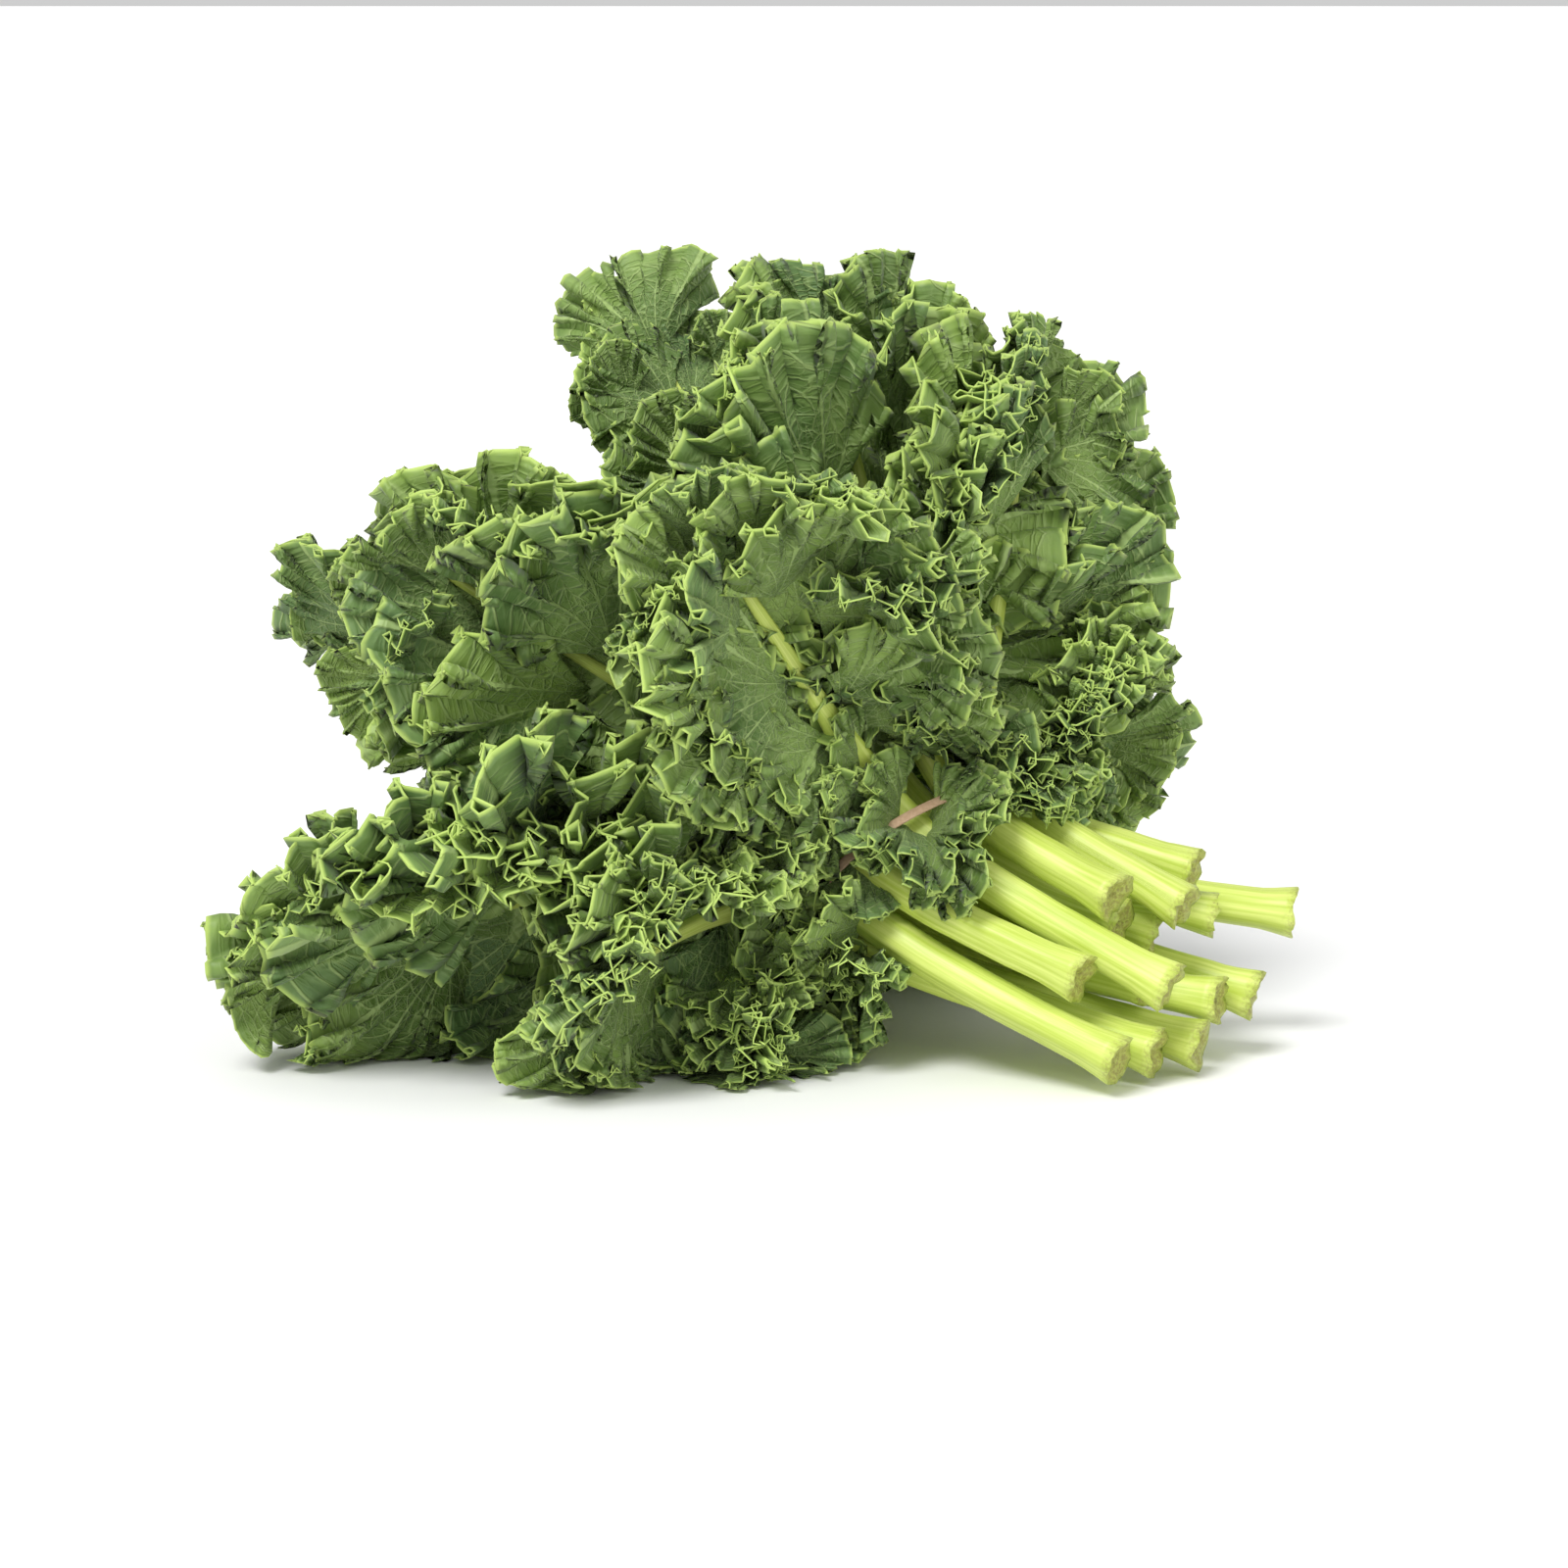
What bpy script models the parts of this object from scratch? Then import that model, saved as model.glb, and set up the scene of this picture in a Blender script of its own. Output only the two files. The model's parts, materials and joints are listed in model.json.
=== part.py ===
"""Bunch of curly kale lying on its side: fifteen leaves held by one rubber band (metres, +Z up).

Every leaf is one lofted body: a stalk from its cut end up through the band, and a blade that fans
out on the far side. Blades are laid out in polar coordinates about the middle of the band.
"""
import math
from dataclasses import dataclass

import bmesh
import bpy
from mathutils import Vector

MM = 0.001
OBJECT_NAME = "kale_bunch"

# The middle of the band, the direction in which the leaves fan out, and the band's own plane.
TIE = Vector((54.0, -52.5, 62.0)) * MM
FAN_AXIS = Vector((-0.52, 0.685, 0.51)).normalized()
BAND_HALF_WIDTH = 54.0 * MM
BAND_HALF_HEIGHT = 38.0 * MM
BAND_THICK = 1.6 * MM
BAND_POINTS = 40
BAND_REACH = 13.0 * MM
BAND_BELOW = 5.0 * MM

# Where the stalks pass through the band, as a share of the room inside it.
BUNDLE_HALF_WIDTH = 41.0 * MM
BUNDLE_HALF_HEIGHT = 27.0 * MM

# Blades start this far from the middle of the band, and those that reach the table flatten on it.
BLADE_START = 58.0 * MM
FLOOR_SOFTNESS = 22.0 * MM
PRESS_HEIGHT = 40.0 * MM
BLADE_THICK = 11.0 * MM
FOOT_START = 42.0 * MM
FOOT_SPREAD = 0.62

SECTION_POINTS = 16
STALK_RINGS = 5
BLADE_RINGS = 10
FLARE_LENGTH = 9.0 * MM
FLARE = (1.42, 1.08)
STALK_GAP = 0.8 * MM
EASING_ROUNDS = 90

UP = (Vector((0.0, 0.0, 1.0)) - FAN_AXIS * FAN_AXIS.z).normalized()
LEFT = -FAN_AXIS.cross(UP)
BAND_RIGHT = (Vector((1.0, 0.0, 0.0)) - FAN_AXIS * FAN_AXIS.x).normalized()
BAND_UP = BAND_RIGHT.cross(FAN_AXIS)


@dataclass(frozen=True)
class Leaf:
    """One leaf: turn is its angle about the fan's axis, 0 at the top and 90 at the left.

    lean_base and lean_tip are its angles away from that axis, and reach is from the band to the
    tip. cut is the middle of the stalk's cut end. ring and cross say how far out and at what angle
    it passes through the band. sink is how far its own weight presses it towards the table.
    Angles are in degrees and lengths in millimetres.
    """

    turn: float
    lean_base: float
    lean_tip: float
    reach: float
    width: float
    cut: tuple
    ring: float
    cross: float
    stalk: float = 6.6
    sink: float = 0.0


LEAVES = {
    "leaf_left_low": Leaf(111, 60, 70, 238, 150, (114, -121.5, 12), 1.0, 84, sink=9.2),
    "leaf_front_left": Leaf(106, 74, 94, 152, 120, (128, -105.5, 11), 1.0, 112, sink=7.6),
    "leaf_front_low": Leaf(134, 74, 117, 108, 88, (142, -91.5, 11), 1.0, 141, sink=2.3),
    "leaf_left_high": Leaf(72, 49, 49, 218, 150, (103, -113.5, 38), 1.0, 50),
    "leaf_centre": Leaf(42, 70, 69, 176, 122, (131, -107.5, 33), 1.0, 18),
    "leaf_top": Leaf(2, 48, 41, 206, 146, (114, -100.5, 62), 1.0, -12),
    "leaf_right_high": Leaf(-21, 62, 56, 186, 124, (137, -81.5, 54), 1.0, -42),
    "leaf_right_low": Leaf(-62, 76, 72, 106, 96, (143, -61.5, 62), 1.0, -79),
    "leaf_left_back": Leaf(98, 40, 33, 246, 112, (123, -89.5, 26), 0.5, 140),
    "leaf_tall_flat": Leaf(18, 30, 24, 240, 90, (121, -81.5, 48), 0.5, 8),
    "leaf_back_right": Leaf(-97, 52, 46, 166, 116, (179, -39.5, 44), 1.0, -128),
    "leaf_back_low": Leaf(-147, 64, 58, 192, 124, (162, -67.5, 21), 1.0, -154, sink=5.5),
    "leaf_back_left": Leaf(160, 50, 45, 222, 126, (149, -81.5, 20), 1.0, 172, sink=9.0),
    "leaf_back_up": Leaf(-112, 30, 26, 206, 94, (151, -53.5, 46), 0.36, -80, stalk=5.8),
    "leaf_heart": Leaf(-30, 11, 9, 178, 74, (129, -67.5, 46), 0.12, -120),
}


def clear_scene():
    """Remove whatever the file opened with."""
    for item in list(bpy.data.objects):
        bpy.data.objects.remove(item, do_unlink=True)


def new_collection(name):
    """A collection of the scene, for the parts."""
    collection = bpy.data.collections.new(name)
    bpy.context.scene.collection.children.link(collection)
    return collection


def make_material(name, colour, roughness):
    """A plain Principled BSDF material."""
    material = bpy.data.materials.new(name)
    material.use_nodes = True
    shader = material.node_tree.nodes["Principled BSDF"]
    shader.inputs["Base Color"].default_value = (*colour, 1.0)
    shader.inputs["Roughness"].default_value = roughness
    shader.inputs["Metallic"].default_value = 0.0
    return material


def above_table(point, sink):
    """Let a point that would be below the table lie just over it, or on it once pressed down."""
    height = point.z
    if height < FLOOR_SOFTNESS:
        height = FLOOR_SOFTNESS * math.exp((height - FLOOR_SOFTNESS) / FLOOR_SOFTNESS)
    height -= sink * max(0.0, 1.0 - height / PRESS_HEIGHT)
    return Vector((point.x, point.y, max(height, 0.0)))


def fan_point(leaf, distance, sideways, outward):
    """A point of a blade: distance from the band, then along its width and through its thickness."""
    share = (distance - BLADE_START) / (leaf.reach * MM - BLADE_START)
    lean = math.radians(leaf.lean_base + (leaf.lean_tip - leaf.lean_base) * share)
    turn = math.radians(leaf.turn) + sideways / (distance * max(math.sin(lean), 0.3))
    lean += outward / distance
    spoke = UP * math.cos(turn) + LEFT * math.sin(turn)
    return above_table(TIE + (FAN_AXIS * math.cos(lean) + spoke * math.sin(lean)) * distance, leaf.sink * MM)


def band_crossing(leaf):
    """Where the leaf's stalk passes through the band."""
    angle = math.radians(leaf.cross)
    right = -BUNDLE_HALF_WIDTH * leaf.ring * math.sin(angle)
    up = BUNDLE_HALF_HEIGHT * leaf.ring * math.cos(angle)
    return TIE + BAND_RIGHT * right + BAND_UP * up


def hermite(start, end, start_slope, end_slope, t):
    """A point of the cubic between two points with a slope at each."""
    a = 2 * t**3 - 3 * t**2 + 1
    b = t**3 - 2 * t**2 + t
    c = -2 * t**3 + 3 * t**2
    d = t**3 - t**2
    return start * a + start_slope * b + end * c + end_slope * d


def stalk_line(leaf):
    """The middle of the stalk, from its cut end through the band to where the blade starts."""
    cut = Vector(leaf.cut) * MM
    crossing = band_crossing(leaf)
    start = fan_point(leaf, BLADE_START, 0.0, 0.0)
    beyond = fan_point(leaf, BLADE_START * 1.2, 0.0, 0.0)
    below = crossing - cut
    through = (below.normalized() + FAN_AXIS).normalized()
    line = [cut, cut + below.normalized() * FLARE_LENGTH]
    for i in range(1, STALK_RINGS):
        t = i / STALK_RINGS
        line.append(hermite(line[1], crossing, below * 0.9, through * below.length * 0.8, t))
    line.append(crossing)
    gap = (start - crossing).length
    out = (beyond - start).normalized() * gap
    for t in (0.3, 0.65, 1.0):
        line.append(hermite(crossing, start, through * gap * 1.9, out, t))
    return line


def stalk_radius(leaf, i):
    """The stalk's radius at a point of its line, wider at the cut end that joined the plant."""
    return leaf.stalk * MM * (FLARE[i] if i < len(FLARE) else 1.0)


def nearest_gap(point, line):
    """The shortest step to a point from a line's segments, and the segment it starts from."""
    best = None
    for i in range(len(line) - 1):
        along = line[i + 1] - line[i]
        t = min(max((point - line[i]).dot(along) / along.length_squared, 0.0), 1.0)
        step = point - (line[i] + along * t)
        if best is None or step.length < best[0].length:
            best = (step, i if t < 0.5 else i + 1)
    return best


def inside_band(point, radius):
    """Bring a stalk's point near the band's plane in from the band."""
    from_tie = point - TIE
    along = from_tie.dot(FAN_AXIS)
    height = along + BAND_BELOW
    right, up = from_tie.dot(BAND_RIGHT), from_tie.dot(BAND_UP)
    wall = BAND_THICK + radius + STALK_GAP
    out = math.hypot(right / (BAND_HALF_WIDTH - wall), up / (BAND_HALF_HEIGHT - wall))
    if abs(height) > BAND_REACH or out <= 1.0:
        return point
    return TIE + FAN_AXIS * along + (BAND_RIGHT * right + BAND_UP * up) / out


def ease_apart(lines):
    """Push the stalks aside, a little at a time, until none runs through another."""
    names = list(lines)
    for _ in range(EASING_ROUNDS):
        moves = {name: [Vector() for _ in lines[name]] for name in names}
        for name in names:
            for other in names:
                if other == name:
                    continue
                for i, point in enumerate(lines[name][:-1]):
                    step, j = nearest_gap(point, lines[other])
                    room = stalk_radius(LEAVES[name], i) + stalk_radius(LEAVES[other], j)
                    short = room + STALK_GAP - step.length
                    if short > 0.0:
                        moves[name][i] += step.normalized() * short * 0.4
        for name in names:
            line = lines[name]
            for i in range(len(line) - 1):
                line[i] += moves[name][i]
                line[i].z = max(line[i].z, stalk_radius(LEAVES[name], i) + STALK_GAP)
                if i <= STALK_RINGS + 2:
                    line[i] = inside_band(line[i], LEAVES[name].stalk * MM)
            for i in range(1, len(line) - 1):
                line[i] += ((line[i - 1] + line[i + 1]) / 2 - line[i]) * 0.06
    return lines


def section(half_width, half_thick):
    """The outline of a cross-section: round for a stalk, a lens with blunt edges for a blade."""
    points = []
    for i in range(SECTION_POINTS):
        angle = 2 * math.pi * (i + 0.5) / SECTION_POINTS
        points.append((half_width * math.cos(angle), half_thick * math.sin(angle)))
    return points


def stalk_rings(leaf, line):
    """The stalk's cross-sections along its line."""
    side = LEFT * math.cos(math.radians(leaf.turn)) - UP * math.sin(math.radians(leaf.turn))
    rings = []
    for i, centre in enumerate(line[:-1]):
        ahead = line[i + 1] - line[max(i - 1, 0)]
        across = (side - ahead * (side.dot(ahead) / ahead.length_squared)).normalized()
        out = across.cross(ahead).normalized()
        size = stalk_radius(leaf, i)
        rings.append([centre + across * q + out * h for q, h in section(size, size)])
    return rings


def blade_width(share):
    """The blade's outline: full past the middle, round at the tip, and wavy along its edge."""
    swell = math.sin(math.pi * min(0.06 + 0.93 * share, 1.0) ** 1.12)
    lobe = 1.0 + 0.05 * math.cos(share * BLADE_RINGS * math.pi)
    return max(swell, 0.0) ** 0.46 * lobe


def blade_rings(leaf):
    """The blade's cross-sections, bent about the bunch."""
    rings = []
    reach = leaf.reach * MM
    for i in range(BLADE_RINGS + 1):
        share = i / BLADE_RINGS
        distance = BLADE_START + (reach - BLADE_START) * share
        half_width = leaf.width * MM / 2 * blade_width(share)
        half_width = min(half_width, (distance - FOOT_START) * FOOT_SPREAD)
        half_width = max(half_width, leaf.stalk * MM * 0.95)
        half_thick = (BLADE_THICK / 2) * (1.15 - 0.4 * share)
        outline = section(half_width, half_thick)
        rings.append([fan_point(leaf, distance, q, -h) for q, h in outline])
    return rings


def turn_outwards(mesh):
    """Point every face of a closed mesh outwards."""
    shape = bmesh.new()
    shape.from_mesh(mesh)
    bmesh.ops.recalc_face_normals(shape, faces=shape.faces)
    shape.to_mesh(mesh)
    shape.free()


def leaf_mesh(name, leaf, line):
    """The closed loft through a leaf's cross-sections."""
    rings = stalk_rings(leaf, line) + blade_rings(leaf)
    points = [p for ring in rings for p in ring]
    count = SECTION_POINTS
    faces = [list(range(count))[::-1]]
    for r in range(len(rings) - 1):
        for i in range(count):
            j = (i + 1) % count
            low, high = r * count, (r + 1) * count
            faces.append([low + i, low + j, high + j, high + i])
    last = (len(rings) - 1) * count
    faces.append([last + i for i in range(count)])
    mesh = bpy.data.meshes.new(name)
    mesh.from_pydata([tuple(p) for p in points], [], faces)
    turn_outwards(mesh)
    return mesh


def add_leaf(name, leaf, line, material, collection):
    """One leaf as one object."""
    mesh = leaf_mesh(name, leaf, line)
    mesh.materials.append(material)
    mesh.shade_smooth()
    leaf_object = bpy.data.objects.new(name, mesh)
    collection.objects.link(leaf_object)
    return leaf_object


def add_band(material, collection):
    """The rubber band: one loop around the stalks."""
    curve = bpy.data.curves.new("rubber_band", "CURVE")
    curve.dimensions = "3D"
    curve.bevel_depth = BAND_THICK
    curve.bevel_resolution = 2
    spline = curve.splines.new("POLY")
    spline.points.add(BAND_POINTS - 1)
    spline.use_cyclic_u = True
    for i, point in enumerate(spline.points):
        angle = 2 * math.pi * i / BAND_POINTS
        place = TIE - FAN_AXIS * BAND_BELOW + BAND_RIGHT * BAND_HALF_WIDTH * math.cos(angle)
        place += BAND_UP * BAND_HALF_HEIGHT * math.sin(angle)
        point.co = (*place, 1.0)
    curve.materials.append(material)
    band = bpy.data.objects.new("rubber_band", curve)
    collection.objects.link(band)
    return band


def main():
    """Build the whole bunch."""
    clear_scene()
    parts = new_collection(OBJECT_NAME)
    lines = ease_apart({name: stalk_line(leaf) for name, leaf in LEAVES.items()})
    for i, (name, leaf) in enumerate(LEAVES.items()):
        green = (0.075 + 0.012 * (i % 3), 0.17 + 0.012 * (i % 4), 0.035)
        add_leaf(name, leaf, lines[name], make_material(f"{name}_green", green, 0.55), parts)
    add_band(make_material("band_rubber", (0.62, 0.42, 0.27), 0.6), parts)


main()
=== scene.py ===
"""Bunch of curly kale lying on its side: frilled leaves, ridged stalks and the rubber band."""

import json
import logging
import math
from collections.abc import Callable
from dataclasses import dataclass, field
from enum import Enum

import bmesh
import bpy
import numpy as np
from mathutils import Matrix, Vector

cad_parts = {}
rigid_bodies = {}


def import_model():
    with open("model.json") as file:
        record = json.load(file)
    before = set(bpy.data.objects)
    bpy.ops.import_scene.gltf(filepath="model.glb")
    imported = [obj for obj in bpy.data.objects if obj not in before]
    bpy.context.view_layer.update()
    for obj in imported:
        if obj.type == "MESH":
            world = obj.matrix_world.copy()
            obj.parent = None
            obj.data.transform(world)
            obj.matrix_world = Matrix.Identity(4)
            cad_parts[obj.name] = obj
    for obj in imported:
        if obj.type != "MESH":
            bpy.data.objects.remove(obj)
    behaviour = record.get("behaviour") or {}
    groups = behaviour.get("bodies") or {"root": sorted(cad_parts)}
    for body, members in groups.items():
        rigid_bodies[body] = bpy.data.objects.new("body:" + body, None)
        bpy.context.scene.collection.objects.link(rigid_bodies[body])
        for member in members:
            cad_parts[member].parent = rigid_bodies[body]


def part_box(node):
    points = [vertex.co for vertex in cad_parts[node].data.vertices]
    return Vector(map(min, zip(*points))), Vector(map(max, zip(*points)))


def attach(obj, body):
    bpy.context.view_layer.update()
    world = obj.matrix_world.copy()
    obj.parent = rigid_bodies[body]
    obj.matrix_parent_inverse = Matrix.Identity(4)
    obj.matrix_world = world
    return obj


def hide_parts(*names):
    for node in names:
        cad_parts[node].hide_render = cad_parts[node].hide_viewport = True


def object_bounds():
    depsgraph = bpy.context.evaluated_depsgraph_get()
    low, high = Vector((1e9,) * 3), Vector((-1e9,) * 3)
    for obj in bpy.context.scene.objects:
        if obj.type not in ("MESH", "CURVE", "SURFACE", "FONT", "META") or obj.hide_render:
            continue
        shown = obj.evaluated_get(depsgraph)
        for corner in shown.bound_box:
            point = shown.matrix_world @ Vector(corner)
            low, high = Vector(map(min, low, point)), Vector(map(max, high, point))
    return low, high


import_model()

MM = 0.001
LOBE_REACH = 52.0
READY_LOBES = 9
FIRST_LOBE_SEED = 300
FIRST_LEAF_SEED = 11
TABLE_GAP = 0.3 * MM
BODY = "root"
BOX_BEFORE = [list(corner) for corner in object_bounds()]
LOG = logging.getLogger("kale")

Array = np.ndarray
Place = Callable[[Array, Array, Array], Array]


class Slot(Enum):
    """The record's material slots."""

    LEAF = "leaf"
    BAND = "band"


def unit(vectors: Array) -> Array:
    """Scale vectors to length one.

    Args:
        vectors: Vectors along the last axis.

    Returns:
        The same directions with length one.
    """
    length = np.linalg.norm(vectors, axis=-1, keepdims=True)
    return vectors / np.maximum(length, 1e-9)


def smooth_step(low: float, high: float, value: Array) -> Array:
    """Rise smoothly from 0 to 1 as a value goes from low to high.

    Args:
        low: Where the rise starts.
        high: Where it ends.
        value: The values.

    Returns:
        Numbers from 0 to 1.
    """
    t = np.clip((value - low) / (high - low), 0.0, 1.0)
    return t * t * (3.0 - 2.0 * t)


def wander(length: Array, step: float, rng: np.random.Generator) -> Array:
    """Smooth noise along a length.

    Args:
        length: Rising positions along the line.
        step: The distance between the noise's own points.
        rng: The source of random numbers.

    Returns:
        Noise from about -1 to 1 at each position.
    """
    knots = np.arange(float(length.min()) - 2 * step, float(length.max()) + 3 * step, step)
    values = rng.uniform(-1.0, 1.0, len(knots))
    place = (length - knots[0]) / step
    low = np.clip(place.astype(int), 0, len(knots) - 2)
    part = place - low
    part = part * part * (3.0 - 2.0 * part)
    return values[low] * (1.0 - part) + values[low + 1] * part


@dataclass(frozen=True)
class LeafPlan:
    """Where one leaf lies. Angles are in degrees and lengths in millimetres.

    turn is its angle about the fan's axis, 0 at the top and 90 at the left. lean_base and lean_tip
    are its angles away from that axis. cut is the middle of the stalk's cut end. ring and cross say
    how far out and at what angle it passes through the band. sink is how far its weight presses it
    down, roll how far its margins curl, frill how strong its frills are. lobes is how many lobes
    the outer row has on each side of the midrib, and leaflets how many small ones its stalk has.
    """

    turn: float
    lean_base: float
    lean_tip: float
    reach: float
    width: float
    cut: tuple[float, float, float]
    ring: float
    cross: float
    stalk: float = 6.6
    sink: float = 0.0
    roll: float = 60.0
    frill: float = 1.0
    lobes: int = 6
    leaflets: int = 0


PLANS: dict[str, LeafPlan] = {
    "leaf_left_low": LeafPlan(
        111, 60, 70, 238, 150, (114, -121.5, 12),
        1.0, 84, sink=9.2, leaflets=3
    ),
    "leaf_front_left": LeafPlan(
        106, 74, 94, 152, 120, (128, -105.5, 11),
        1.0, 112, sink=7.6, leaflets=6
    ),
    "leaf_front_low": LeafPlan(
        134, 74, 117, 108, 88, (142, -91.5, 11),
        1.0, 141, sink=2.3, leaflets=3
    ),
    "leaf_left_high": LeafPlan(72, 49, 49, 218, 150, (103, -113.5, 38), 1.0, 50, leaflets=5),
    "leaf_centre": LeafPlan(42, 70, 69, 176, 122, (131, -107.5, 33), 1.0, 18, leaflets=6),
    "leaf_top": LeafPlan(2, 48, 41, 206, 146, (114, -100.5, 62), 1.0, -12, leaflets=5),
    "leaf_right_high": LeafPlan(-21, 62, 56, 186, 124, (137, -81.5, 54), 1.0, -42, leaflets=6),
    "leaf_right_low": LeafPlan(-62, 76, 72, 106, 96, (143, -61.5, 62), 1.0, -79, leaflets=3),
    "leaf_left_back": LeafPlan(
        98, 40, 33, 246, 112, (123, -89.5, 26),
        0.5, 140, frill=0.55, lobes=5
    ),
    "leaf_tall_flat": LeafPlan(18, 30, 24, 240, 90, (121, -81.5, 48), 0.5, 8, frill=0.45, lobes=5),
    "leaf_back_right": LeafPlan(-97, 52, 46, 166, 116, (179, -39.5, 44), 1.0, -128, lobes=5),
    "leaf_back_low": LeafPlan(
        -147, 64, 58, 192, 124, (162, -67.5, 21),
        1.0, -154, sink=5.5, lobes=5
    ),
    "leaf_back_left": LeafPlan(
        160, 50, 45, 222, 126, (149, -81.5, 20),
        1.0, 172, sink=9.0, lobes=5
    ),
    "leaf_back_up": LeafPlan(
        -112, 30, 26, 206, 94, (151, -53.5, 46),
        0.36, -80, stalk=5.8, lobes=5
    ),
    "leaf_heart": LeafPlan(-30, 11, 9, 178, 74, (129, -67.5, 46), 0.12, -120, lobes=0),
}


@dataclass
class Fan:
    """The bunch's layout about the middle of its band."""

    axis: Array = field(default_factory=lambda: unit(np.array([-0.52, 0.685, 0.51])))
    band_below: float = 5.0 * MM
    band_thick: float = 1.6 * MM
    bundle_half_width: float = 41.0 * MM
    bundle_half_height: float = 27.0 * MM
    blade_start: float = 58.0 * MM
    floor_softness: float = 22.0 * MM
    frill_softness: float = 9.0 * MM
    press_height: float = 40.0 * MM
    least_height: float = 0.5 * MM
    band_reach: float = 13.0 * MM
    stalk_gap: float = 0.8 * MM
    flare_length: float = 9.0 * MM
    flare: tuple[float, float] = (1.42, 1.08)
    lower_points: int = 5
    easing_rounds: int = 90
    overhang: tuple[float, float, float] = (18.0 * MM, 16.0 * MM, 15.0 * MM)
    wall_softness: float = 12.0 * MM

    def __post_init__(self) -> None:
        """Work out the directions across the fan, and read the band's place from the frame."""
        self.walls = np.array(BOX_BEFORE) + np.outer((-1.0, 1.0), self.overhang)
        vertical = np.array([0.0, 0.0, 1.0])
        self.up = unit(vertical - self.axis * self.axis[2])
        self.left = -np.cross(self.axis, self.up)
        across = np.array([1.0, 0.0, 0.0])
        self.band_right = unit(across - self.axis * self.axis[0])
        self.band_up = np.cross(self.band_right, self.axis)
        low, high = (np.array(corner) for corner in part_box("rubber_band"))
        self.band_middle = (low + high) / 2
        self.tie = self.band_middle + self.axis * self.band_below
        room = (high - low) / 2 - self.band_thick
        self.band_half_width = float(room[0] / self.band_right[0])
        self.band_half_height = 38.0 * MM

    def above_table(self, points: Array, sink: float, soft: float) -> Array:
        """Let points that would be below the table lie just over it.

        Args:
            points: Points along the last axis.
            sink: How far the leaf is pressed down.
            soft: The height under which points are crowded together.

        Returns:
            The points, none of them under the table.
        """
        height = points[..., 2]
        low = soft * np.exp((np.minimum(height, soft) - soft) / soft)
        height = np.where(height < soft, low, height)
        height = height - sink * np.maximum(0.0, 1.0 - height / self.press_height)
        out = points.copy()
        out[..., 2] = np.maximum(height, self.least_height)
        return out

    def in_room(self, points: Array) -> Array:
        """Crowd the frills that reach too far in behind the bunch's outline."""
        out, soft = points.copy(), self.wall_softness
        for axis in range(3):
            for sign, wall in ((1.0, self.walls[0, axis]), (-1.0, self.walls[1, axis])):
                if axis == 2 and sign > 0:
                    continue
                depth = (out[..., axis] - wall) * sign
                near = soft * np.exp((np.minimum(depth, soft) - soft) / soft)
                out[..., axis] = wall + sign * np.where(depth < soft, near, depth)
        return self.above_table(out, 0.0, self.frill_softness)

    def points(self, plan: LeafPlan, distance: Array, sideways: Array, outward: Array) -> Array:
        """Points of a blade.

        Args:
            plan: The leaf.
            distance: How far from the band's middle.
            sideways: How far across the leaf.
            outward: How far out of it, towards its underside.

        Returns:
            The points in the row's frame.
        """
        share = (distance - self.blade_start) / (plan.reach * MM - self.blade_start)
        lean = np.radians(plan.lean_base + (plan.lean_tip - plan.lean_base) * share)
        turn = math.radians(plan.turn) + sideways / (distance * np.maximum(np.sin(lean), 0.3))
        lean = lean + outward / distance
        spoke = np.cos(turn)[..., None] * self.up + np.sin(turn)[..., None] * self.left
        ray = np.cos(lean)[..., None] * self.axis + np.sin(lean)[..., None] * spoke
        reached = self.tie + ray * distance[..., None]
        return self.above_table(reached, plan.sink * MM, self.floor_softness)

    def point(self, plan: LeafPlan, distance: float) -> Array:
        """One point of a blade's midline, at a distance from the band's middle."""
        zero = np.zeros(1)
        return self.points(plan, np.array([distance]), zero, zero)[0]

    def crossing(self, plan: LeafPlan) -> Array:
        """Where a leaf's stalk passes through the band."""
        angle = math.radians(plan.cross)
        right = -self.bundle_half_width * plan.ring * math.sin(angle)
        up = self.bundle_half_height * plan.ring * math.cos(angle)
        return self.tie + self.band_right * right + self.band_up * up

    def stalk_line(self, plan: LeafPlan) -> list[Array]:
        """The middle of a stalk before it is eased clear of its neighbours.

        Args:
            plan: The leaf.

        Returns:
            Points from the cut end, through the band, to where the blade starts.
        """
        cut = np.array(plan.cut) * MM
        crossing = self.crossing(plan)
        start = self.point(plan, self.blade_start)
        beyond = self.point(plan, self.blade_start * 1.2)
        below = crossing - cut
        through = unit(unit(below) + self.axis)
        line = [cut, cut + unit(below) * self.flare_length]
        for i in range(1, self.lower_points):
            length = float(np.linalg.norm(below))
            t = i / self.lower_points
            line.append(hermite(line[1], crossing, below * 0.9, through * length * 0.8, t))
        line.append(crossing)
        gap = float(np.linalg.norm(start - crossing))
        out = unit(beyond - start) * gap
        for t in (0.3, 0.65, 1.0):
            line.append(hermite(crossing, start, through * gap * 1.9, out, t))
        return line

    def stalk_radius(self, plan: LeafPlan, i: int) -> float:
        """The stalk's radius at a point of its line, wider at the cut end."""
        return plan.stalk * MM * (self.flare[i] if i < len(self.flare) else 1.0)

    def inside_band(self, point: Array, radius: float) -> Array:
        """Bring a stalk's point near the band's plane in from the band."""
        offset = point - self.tie
        along = float(offset @ self.axis)
        right, up = float(offset @ self.band_right), float(offset @ self.band_up)
        wall = self.band_thick + radius + self.stalk_gap
        out = math.hypot(
            right / (self.band_half_width - wall), up / (self.band_half_height - wall)
        )
        if abs(along + self.band_below) > self.band_reach or out <= 1.0:
            return point
        return self.tie + self.axis * along + (self.band_right * right + self.band_up * up) / out

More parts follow.
